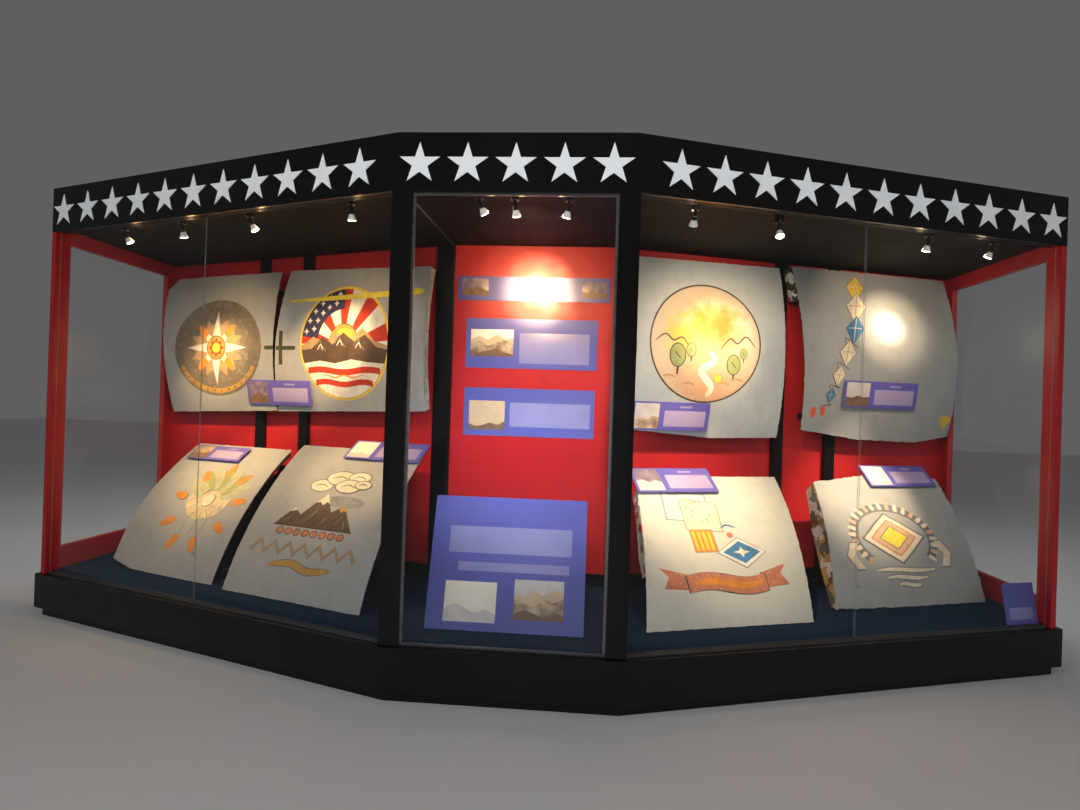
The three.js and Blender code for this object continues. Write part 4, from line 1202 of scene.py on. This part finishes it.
def kites():
    """Rising string of kites that leans to the left at its foot."""
    steps = [(.125, .52, .19, "yellow"), (.115, .37, .21, "cream"), (.095, .20, .19, "blue"),
             (.03, .02, .17, "cream"), (-.035, -.15, .13, "cream"), (-.09, -.30, .10, "blue")]
    shapes = []
    for (x, y, size, _), (x1, y1, *_) in zip(steps, steps[1:] + [(-.15, -.44)]):
        tail = moved([(-.1, -.62), (.12, -.75)], x, y, size) \
            + moved([(-.1, .55), (0, 0)], x1, y1, size)
        shapes.append(("umber", brush(tail, .009, .4)))
    for x, y, size, colour in steps:
        other = "cream" if colour != "cream" else "tan"
        shapes += rimmed(colour, kite(x, y, .8 * size, .5 * size, .62 * size, .1 * size),
                         "umber", .006)
        for line in ([(.08, .40), (0, 0), (-.08, -.5)], [(-.3, 0), (0, .02), (.3, 0)]):
            shapes.append((other, stroke(moved(line, x, y, size), .035 * size, .3)))
    return shapes


def fan():
    shapes = [("mint", wave(-.30, .28, .10, .10, .03, 1.0, 1.0)),
              ("haze", oval(.20, .17, 0, .03))]
    for i in range(7):
        turn = 30 + 20 * i
        x, y = polar(.16, .16, turn)
        shapes.append(("leaf" if i % 2 else "mint", drop(x, y + .02, .17, turn)))
        shapes.append(("coral", stroke([(.5 * x, .5 * y + .02), (x, y + .024),
                                        (1.5 * x, 1.5 * y + .02)], .006)))
    for turn in range(10, 370, 40):
        x, y = polar(.27, .30, turn)
        shapes += rimmed("orange", drop(x, y - .02, .085, turn), "tan", .004)
    shapes += rimmed("cream", oval(.05, .05, 0, .02, count=24), "leaf", .006)
    for x, bend in ((-.07, -.04), (.0, .02), (.08, .05)):
        shapes.append(("leaf", brush([(x * .3, -.05), (x * .7 + bend, -.14), (x, -.26)], .010)))
    return shapes


def mountains():
    peaks = [(-.33, -.06), (-.22, .08), (-.15, .03), (-.02, .21), (.08, .07), (.16, .13),
             (.31, -.06)]
    shapes = [("smoke", oval(.17, .045, .13, .155, count=30))]
    for x, y, size in ((-.12, .27, .09), (.0, .345, .11), (.15, .36, .085), (.10, .28, .10),
                       (.21, .30, .06)):
        shapes += rimmed("cream", oval(size, .52 * size, x, y, count=26), "slate", .009)
        fold = moved([(-.6, -.1), (0, .12), (.6, -.1)], x, y, size)
        shapes.append(("slate", brush(fold, .009)))
    shapes += [("brown", peaks),
               ("cream", [(-.02, .21), (.035, .13), (.01, .145), (-.015, .115), (-.045, .14),
                          (-.075, .13)]),
               ("cream", [(-.22, .08), (-.19, .056), (-.205, .06), (-.225, .05), (-.245, .05)]),
               ("ochre", [(.16, .13), (.20, .083), (.175, .09), (.155, .075), (.125, .107)])]
    for x0, y0, x1, y1 in ((-.28, -.03, -.20, .03), (-.10, -.02, -.03, .09),
                           (.03, -.03, .06, .04), (.14, -.02, .18, .05), (.23, -.04, .21, .01)):
        shapes.append(("slate", stroke([(x0, y0), ((x0 + x1) / 2 + .01, (y0 + y1) / 2),
                                        (x1, y1)], .012)))
    for i in range(8):
        shapes += rimmed("coral", oval(.024, .020, -.25 + .07 * i, -.095, count=18), "brown", .006)
    zigzag = [(-.42 + .06 * i, -.245 + .075 * (i % 2)) for i in range(15)]
    river = [(-.22, -.325), (-.05, -.30), (.1, -.335), (.27, -.31)]
    return shapes + [("umber", stroke(zigzag, .030, .1)), ("tan", stroke(zigzag, .018, .1)),
                     ("slate", brush(river, .055)), ("ochre", brush(river, .042))]


def ribbon():
    """Wavy ribbon with forked tails, shaded where it folds."""
    shapes = []
    for sign in (-1, 1):
        shapes += [("coral", on_side(sign, [(.25, -.235), (.43, -.185), (.375, -.245),
                                            (.42, -.315), (.235, -.33)])),
                   ("slate", on_side(sign, [(.235, -.235), (.275, -.245), (.262, -.335),
                                            (.235, -.32)]))]
    body = wave(-.262, .262, -.295, .105, .018, 1.0)
    return shapes + rimmed("coral", body, "brown", .005) + [
        ("orange", wave(-.235, .235, -.295, .045, .016, 1.0, .5))]


def blocks():
    shapes = rimmed("white", [(-.27, .15), (.03, .12), (.05, .34), (-.24, .38)], "smoke", .014)
    shapes += rimmed("cream", [(-.16, .07), (.08, .05), (.10, .27), (-.14, .30)], "tan", .010)
    shapes += rimmed("orange", bar(-.15, .0, -.09, .06), "tan", .007)
    for i in range(4):
        shapes.append(("yellow", bar(-.14 + .035 * i, -.122 + .035 * i, -.08, .05)))
    for i in range(11):
        x = -.03 + .10 * math.sin(2.4 * i) * (.4 + .05 * i)
        shapes.append(("slate", oval(.006, .006, x, .20 + .08 * math.cos(2.4 * i), count=8)))
    shapes += rimmed("white", kite(.16, -.10, .33, .10, .10), "slate", .006)
    shapes += [("blue", kite(.16, -.10, .26, .075, .075)),
               ("cream", burst(4, .06, .022, .62, 90, .16, -.10)),
               ("coral", oval(.022, .020, .12, .02, count=16)),
               ("blue", brush([(.07, .07), (.12, .095), (.18, .075)], .012))]
    return shapes + ribbon()


def diamond():
    shapes = [("slate", band(.345, .262, .062, -40, 220, 48, 0, .05))]
    for i in range(23):
        turn = -38 + 11.7 * i
        spot = polar(.316, .233, turn, 0, .05)
        shapes.append(("peach" if i % 3 == 1 else "cream", drop(*spot, .045, turn)))
    for colour, long, short in (("slate", .262, .190), ("cream", .242, .174),
                                ("coral", .190, .137), ("peach", .178, .127),
                                ("slate", .120, .086), ("lemon", .110, .078)):
        shapes.append((colour, burst(4, long, short, .72, 90, 0, .05)))
    for sign in (-1, 1):
        chevron = on_side(sign, [(.375, .02), (.425, -.07), (.375, -.16), (.315, -.16),
                                 (.365, -.07), (.315, .02)])
        shapes += rimmed("cream", chevron, "slate", .008)
    for y, half in ((-.175, .25), (-.225, .18), (-.272, .10)):
        shapes += [("slate", wave(-half, half, y, .038, .007, 1.0, .7)),
                   ("cream", wave(-half + .006, half - .006, y, .026, .007, 1.0, .7))]
    return shapes


# Columns: skin, (t, share) of the design's middle, shapes in the viewer's x and y about it
DESIGNS = [
    ("upper_left_outer", (2.484, .473), compass()),
    ("upper_left_inner", (1.198, .476), sunrise()),
    ("upper_right_inner", VALLEY_MIDDLE, valley()),
    ("upper_right_outer", (2.112, .5), kites()),
    ("upper_right_outer", (1.932, .165), [("scarlet", oval(.022, .042, -.04)),
                                          ("scarlet", oval(.019, .036, .04, .012))]),
    ("upper_right_outer", (3.094, .123), [("yellow", kite(0, .03, .11, .035, .09)),
                                          ("yellow", bar(-.06, .06, .03, .052))]),
    ("lower_left_outer", (2.04, .49), fan()),
    ("lower_left_inner", (.953, .45), mountains()),
    ("lower_right_inner", (.86, .51), blocks()),
    ("lower_right_outer", (2.29, .42), diamond()),
    ("upper_left_outer", (1.802, .471), [("olive", bar(-.165, -.080, -.015, .015))]),
    ("upper_left_inner", (1.802, .447), [("olive", bar(-.022, .014, -.128, .132)),
                                         ("olive", bar(-.052, .142, -.015, .015))]),
]


def layers(shapes):
    """Layer of each shape: one above the highest that it may cover."""
    placed = []
    for _, outline in shapes:
        xs, ys = zip(*outline)
        x0, x1, y0, y1 = min(xs), max(xs), min(ys), max(ys)
        under = [layer for a0, a1, b0, b1, layer in placed
                 if a0 <= x1 and x0 <= a1 and b0 <= y1 and y0 <= b1]
        placed.append((x0, x1, y0, y1, 1 + max(under, default=-1)))
    return [layer for *_, layer in placed]


designs = {}
for name, centre, shapes in DESIGNS:
    designs.setdefault(name, []).append((centre, shapes))
for name, groups in designs.items():
    skin = SKIN_OF[name]
    form = Form()
    used = []
    for (centre_t, centre_share), shapes in groups:
        for layer, (colour, outline) in zip(layers(shapes), shapes):
            if colour not in used:
                used.append(colour)

            def on_skin(x, y, stand):
                return skin.point(centre_t + skin.side * x, centre_share + y / skin.arc, stand)

            stand = PAINT_BASE + layer * PAINT_LAYER
            form.slab(outline, PAINT_STEP, lambda x, y: on_skin(x, y, stand),
                      lambda x, y: on_skin(x, y, -OVERLAP), used.index(colour))
    form.piece(f"art_{name}", [PAINTS[colour] for colour in used], skin.slot)


# ---- Signs: blank panels and plain landscapes on the boards ----
INSETS = [SIGN_PANEL, CREAM_INSET, SKY_INSET, SEPIA_INSET, SAND_INSET, EARTH_INSET, DUSK_INSET]


def panels(name, axes, front, rows):
    """Thin printed panels. Columns: x0, x1, z0, z1, finish, ridges on it"""
    form = Form()
    for *box, coat, ridges in rows:
        picture(form, axes, front, box, INSETS.index(coat),
                [(INSETS.index(other), heights) for other, heights in ridges])
    form.piece(name, INSETS, "sign_print")


BOARD = 0.005
WALL_FRONT = CENTRE_DEPTH - JOINT - BOARD
panels("panels_title", BAYS[0], WALL_FRONT, [
    (-.512, -.321, 2.317, 2.437, DUSK_INSET, [(EARTH_INSET, (.30, .46, .34, .52, .38, .24))]),
    (.338, .515, 2.310, 2.424, DUSK_INSET, [(EARTH_INSET, (.44, .32, .50, .36, .28, .42))])])
panels("panels_upper", BAYS[0], WALL_FRONT, [
    (-.436, -.133, 1.886, 2.077, CREAM_INSET, [
        (SAND_INSET, (.60, .74, .62, .80, .66, .70)),
        (SEPIA_INSET, (.44, .58, .40, .52, .60, .46)),
        (EARTH_INSET, (.24, .14, .22, .30, .16, .10))]),
    (-.090, .402, 1.842, 2.056, SIGN_PANEL, [])])
panels("panels_lower", BAYS[0], WALL_FRONT, [
    (-.433, -.179, 1.370, 1.574, SAND_INSET, [(EARTH_INSET, (.20, .12, .16, .24, .18, .30))]),
    (-.144, .42, 1.395, 1.565, SIGN_PANEL, [])])


def leaning_axes(side, x, foot, head):
    """Axes on the foot of a leaning sign: y into the board, z up it."""
    base = Vector((x, foot, DECK_TOP + JOINT))
    up = (Vector((x, *head)) - base).normalized()
    right = Vector((1, 0, 0))
    return BAYS[side] @ axes_at(base, right, up.cross(right), up)


panels("panels_floor", leaning_axes(0, 0, .262, (.495, 1.004)), 0, [
    (-.361, -.07, .045, .262, CREAM_INSET, [(SKY_INSET, (.30, .42, .34, .24, .32, .20))]),
    (.029, .305, .07, .285, SKY_INSET, [
        (SAND_INSET, (.66, .58, .72, .62, .76, .68)),
        (SEPIA_INSET, (.50, .42, .34, .52, .46, .56)),
        (EARTH_INSET, (.14, .24, .18, .10, .22, .16))]),
    (-.36, .34, .42, .57, SIGN_PANEL, []), (-.30, .33, .32, .37, SIGN_PANEL, [])])
panels("panels_corner", leaning_axes(1, 0, .070, (.118, .542)), 0, [
    (2.585, 2.766, .03, .10, SIGN_PANEL, [])])


# ---- Lamps ----
LAMP_SETBACK = 0.13
# Columns: distance along the bay, height of the pivot, turn, tilt, with a rod
LAMPS = {
    -1: [(.4, 2.611, 8, 10, True), (1.158, 2.606, -60, 30, False),
         (1.74, 2.613, -10, 12, True), (2.285, 2.612, -50, 30, False)],
    0: [(-.205, 2.611, -60, 32, False), (-.014, 2.606, -30, 16, False),
        (.274, 2.602, 50, 18, True)],
    1: [(.398, 2.601, -14, 38, False), (.914, 2.586, -20, -22, True),
        (1.935, 2.61, 6, 14, False), (2.424, 2.612, 30, 26, False)],
}
HEAD_OUTER = [(0, -.012), (.0105, -.012), (.012, -.0135), (.012, -.0265), (.0128, -.029),
              (.0155, -.0365), (.0185, -.0445), (.0215, -.0535), (.0240, -.0605),
              (.0250, -.0635), (.0250, -.0652), (.0242, -.0662), (.0230, -.0660),
              (.0222, -.0650), (0, -.0650)]
HEAD_GLASS = [(0, -.0640), (.0221, -.0640), (.0221, -.0655), (.0165, -.0675), (.0090, -.0690),
              (0, -.0696)]
COLLAR = [(.0115, -.0122), (.0150, -.0122), (.0155, -.0128), (.0155, -.0170), (.0146, -.0176),
          (.0146, -.0190), (.0155, -.0196), (.0155, -.0238), (.0146, -.0244), (.0146, -.0258),
          (.0155, -.0264), (.0155, -.0316), (.0148, -.0322), (.0115, -.0322)]
# Black can over the fork: radius, height above the pivot, and share of its lean
HOUSING = [(.0170, .0172, 0), (.0212, .0180, .03), (.0230, .0200, .08), (.0238, .0260, .25),
           (.0238, .0300, .4)]
HOUSING_TOP = 0.0248
HOUSING_LEAN = 0.35
TONGUE = 0.0045
TONGUE_DISC = [(0, -TONGUE), (.0077, -TONGUE), (.0082, -.0040), (.0082, .0040),
               (.0077, TONGUE), (0, TONGUE)]
# Gap from a can or rod to the ceiling, and the rod's corners: (x, y, z) and (x, y)
FITTING_GAP = 0.008
ROD_LOW, ROD_HIGH, ROD_BEVEL = (-.0035, -.0245, .019), (.0035, -.0215), .0004
PIN = [(0, -.0108), (.0035, -.0108), (.0040, -.0100), (.0040, -.0078), (0, -.0078)]
# Where a lamp's two lights stand in its own axes
BEAM_START = Vector((0, 0, -.078))
GLOW_START = Vector((0, .045, -.055))


def lamp_head(name, axes):
    form = Form()
    form.lathe(axes, HEAD_OUTER)
    form.lathe(axes, HEAD_GLASS, mark=1)
    form.lathe(axes, COLLAR, mark=2)
    across = axes @ Matrix.Rotation(math.pi / 2, 4, "Y")
    form.lathe(across, TONGUE_DISC, 24, 2)
    form.box(axes, (-TONGUE, -.005, -.0135), (TONGUE, .005, -.001), .0008, 2)
    form.piece(f"head_{name}", [LAMP_WHITE, LAMP_GLOW, LAMP_BLACK], "lamp_white", name,
               replaces=[name])


def light_at(name, kind, power, place, target=None):
    """A light, turned to its target if it has one."""
    light = bpy.data.lights.new(name, kind)
    light.energy = power
    obj = linked(name, light)
    obj.location = place
    if target is not None:
        turn = (Vector(target) - Vector(place)).to_track_quat("-Z", "Y")
        obj.rotation_euler = turn.to_euler()
    return obj


# Where each lamp's light falls, by skin and (t, share) or as a wall point, and its cones as
# (power, spread). A weak glow from each lamp's back lights the ceiling.
BEAMS = {
    "left_1": (("upper_left_inner", 1.32, .45), [(420, 30), (50, 80)]),
    "left_2": (("lower_left_inner", .90, .84), [(120, 38), (36, 80)]),
    "left_3": (("upper_left_outer", 2.45, .40), [(280, 30), (50, 80)]),
    "left_4": (("lower_left_outer", 2.10, .80), [(190, 40), (100, 90)]),
    "centre_1": (("wall", -.10, 2.30), [(60, 44)]),
    "centre_2": (("wall", .02, 2.36), [(1000, 14), (430, 30), (60, 90)]),
    "centre_3": (("wall", .15, 2.10), [(30, 60)]),
    "right_1": (("lower_right_inner", .86, .80), [(300, 44), (60, 90)]),
    "right_2": (("upper_right_inner", 1.08, .55), [(190, 38), (90, 90)]),
    "right_3": (("upper_right_outer", 2.50, .68), [(440, 16), (190, 34), (38, 90)]),
    "right_4": (("lower_right_outer", 2.20, .86), [(380, 34), (30, 80)]),
}
LAMP_LIGHT = {-1: (1.0, 0.62, 0.27), 0: (1.0, 0.63, 0.28), 1: (0.96, 0.69, 0.42)}
BEAM_SOFTNESS = 0.02
GLOW_POWER = 0.3
GLOW_SOFTNESS = 0.015

for side, rows in LAMPS.items():
    rods = Form()
    for index, (along, pivot, turn, tilt, rod) in enumerate(rows, 1):
        label = f"{SIDE_NAMES[side]}_{index}"
        x = side * along if side else along
        fork = BAYS[side] @ Matrix.Translation((x, LAMP_SETBACK, pivot)) \
            @ Matrix.Rotation(math.radians(turn), 4, "Z")
        axes = fork @ Matrix.Rotation(math.radians(tilt), 4, "X")
        lamp_head(f"lamp_{label}", axes)
        reach = CEILING - pivot - FITTING_GAP
        lean = -HOUSING_LEAN * math.tan(math.radians(tilt)) * reach
        rods.lathe(fork, [(radius, height, lean * share) for radius, height, share
                          in HOUSING + [(HOUSING_TOP, reach, 1)]], 28, 1)
        if rod:
            rods.box(fork, ROD_LOW, (*ROD_HIGH, reach), ROD_BEVEL, 0)
        across = fork @ Matrix.Rotation(math.pi / 2, 4, "Y")
        rods.lathe(across, PIN, 16, 0)
        (kind, a, b), cones = BEAMS[label]
        if kind == "wall":
            target = BAYS[0] @ Vector((a, CENTRE_DEPTH, b))
        else:
            target = SKIN_OF[kind].smooth_point(a, b)
        for number, (power, spread) in enumerate(cones, 1):
            light = light_at(f"beam_{label}_{number}", "SPOT", power, axes @ BEAM_START, target)
            light.data.color = LAMP_LIGHT[side]
            light.data.spot_size = math.radians(spread)
            light.data.spot_blend = 1.0
            light.data.shadow_soft_size = BEAM_SOFTNESS
        light = light_at(f"glow_{label}", "POINT", GLOW_POWER, axes @ GLOW_START)
        light.data.color = LAMP_LIGHT[side]
        light.data.shadow_soft_size = GLOW_SOFTNESS
    rods.piece(f"lamp_fittings_{SIDE_NAMES[side]}", [CHROME, LAMP_BLACK], "black_paint")

BATTEN_WIDTH = 0.016
BATTEN_DROP = 0.003
BATTEN_SUNK = 0.0004
BATTEN_BEVEL = 0.0006
BATTEN_FRONT = 0.09
for side in (-1, 1):
    corner = Vector((side * CENTRE_HALF, ORIGIN_Y, CEILING))
    back = frame["nodes"]["back_wall_centre"].data.vertices
    far = min((v.co for v in back), key=lambda co: (co.x * -side, co.y))
    run = Vector((far.x - corner.x, far.y - corner.y, 0))
    along = run.normalized()
    square = Vector((-along.y, along.x, 0))
    axes = axes_at(corner, square, along, Vector((0, 0, 1)))
    form = Form()
    form.box(axes, (-BATTEN_WIDTH / 2, BATTEN_FRONT, -BATTEN_DROP),
             (BATTEN_WIDTH / 2, run.length, BATTEN_SUNK), BATTEN_BEVEL)
    form.piece(f"batten_{SIDE_NAMES[side]}", [TRACK], "track_metal")


# ---- Strips over the joints of the back boards ----
STRIP_WIDTH = 0.045
STRIP_DEPTH = 0.006
STRIP_SUNK = 0.0005
STRIP_BEVEL = 0.0012
STRIP_SHORT = 0.002
STRIP_PITCH = 1.2192
SCREW_PITCH = 0.3
SCREW_MARGIN = 0.06
SCREW_HEAD = [(0, -.0002), (.0045, -.0002), (.0045, .0006), (.0030, .0014), (0, .0016)]

for side in (-1, 1):
    low, high = local_box(f"back_wall_{SIDE_NAMES[side]}", BAYS[side])
    form = Form()
    count = round((high.x - low.x) / STRIP_PITCH)
    for joint in range(1, count):
        x = low.x + (high.x - low.x) * joint / count
        form.box(BAYS[side], (x - STRIP_WIDTH / 2, high.y - STRIP_SUNK, low.z + STRIP_SHORT),
                 (x + STRIP_WIDTH / 2, high.y + STRIP_DEPTH, high.z - STRIP_SHORT), STRIP_BEVEL)
        screws = int((high.z - low.z) / SCREW_PITCH)
        for i in range(screws + 1):
            z = low.z + SCREW_MARGIN + (high.z - low.z - 2 * SCREW_MARGIN) * i / screws
            form.lathe(BAYS[side] @ Matrix.Translation((x, high.y + STRIP_DEPTH, z))
                       @ Matrix.Rotation(-math.pi / 2, 4, "X"), SCREW_HEAD, 14, 1)
    form.piece(f"strips_{SIDE_NAMES[side]}", [RED, CHROME], "red_paint")


# ---- Locks on the glass ----
LOCK_HEIGHT = 0.30
LOCK = [(0, -.001), (.011, -.001), (.011, .0081), (.0095, .0090), (.004, .0090), (.004, .0072),
        (0, .0072)]

for name, x_share in (("pane_left_outer", .985), ("pane_right_outer", .015)):
    side = -1 if "left" in name else 1
    low, high = pane_boxes[name]
    x = low.x + (high.x - low.x) * x_share
    form = Form()
    form.lathe(BAYS[side] @ Matrix.Translation((x, low.y, low.z + LOCK_HEIGHT))
               @ Matrix.Rotation(math.pi / 2, 4, "X"), LOCK, 28)
    form.piece(f"lock_{name}", [CHROME], "track_metal", name)


# ---- Stage, lights and camera ----
REACH = 30
floor_mesh = bpy.data.meshes.new("floor")
floor_mesh.from_pydata([(-REACH, -REACH, 0), (REACH, -REACH, 0), (REACH, REACH, 0),
                        (-REACH, REACH, 0)], [], [(0, 1, 2, 3)])
floor = linked("floor", floor_mesh)
floor_mesh.materials.append(finish("floor_pale", (0.72, 0.72, 0.72), (0.75, 0.75, 0.75), 0.6,
                                   (0.6, 0.75), 90.0, 0.0001))

world = bpy.data.worlds.new("studio")
bpy.context.scene.world = world
world.use_nodes = True
plug(world.node_tree, world.node_tree.nodes["Background"],
     {"Color": rgba((0.80, 0.82, 0.85)), "Strength": 0.14})
bpy.context.scene.view_settings.view_transform = "Standard"


def soft_light(name, place, target, size, power, spread=180):
    """Studio area light that gloss doesn't mirror."""
    obj = light_at(name, "AREA", power, place, target)
    obj.visible_glossy = False
    obj.data.shape = "RECTANGLE"
    obj.data.size, obj.data.size_y = size
    obj.data.spread = math.radians(spread)


soft_light("key", (-3.5, -7.0, 5.2), (0, 0, 1.3), (4, 3), 105)
soft_light("front", (0.6, -6.5, 2.0), (0, 0, 1.3), (3.5, 1.6), 60)
soft_light("fill", (5.0, -6.0, 4.2), (0, 0, 1.3), (4, 3), 40)
soft_light("inside", (0.45, -4.6, 1.75), (-0.05, 0.4, 1.25), (0.3, 0.3), 5, 24)
soft_light("crown", (0.3, -6.5, 4.4), (0, 0.2, 2.9), (3, 0.6), 9, 60)
soft_light("back", (0, 5.0, 5.5), (0, 0, 1.5), (6, 2.5), 150)

CAMERA = (0.40133, -4.38512, 1.54104)
YAW, PITCH, ROLL = -0.0729830, 0.0029530, -0.0326459
FOCAL_PIXELS, IMAGE_WIDTH = 649.049, 1080

ahead = Vector((math.sin(YAW) * math.cos(PITCH), math.cos(YAW) * math.cos(PITCH),
                math.sin(PITCH)))
right = Vector((math.cos(YAW), -math.sin(YAW), 0))
down = ahead.cross(right)
across = math.cos(ROLL) * right + math.sin(ROLL) * down
under = -math.sin(ROLL) * right + math.cos(ROLL) * down
lens = bpy.data.cameras.new("camera")
lens.sensor_fit = "HORIZONTAL"
lens.sensor_width = 36
lens.lens = lens.sensor_width * FOCAL_PIXELS / IMAGE_WIDTH
camera = linked("camera", lens)
camera.matrix_world = axes_at(CAMERA, across, -under, -ahead)
bpy.context.scene.camera = camera
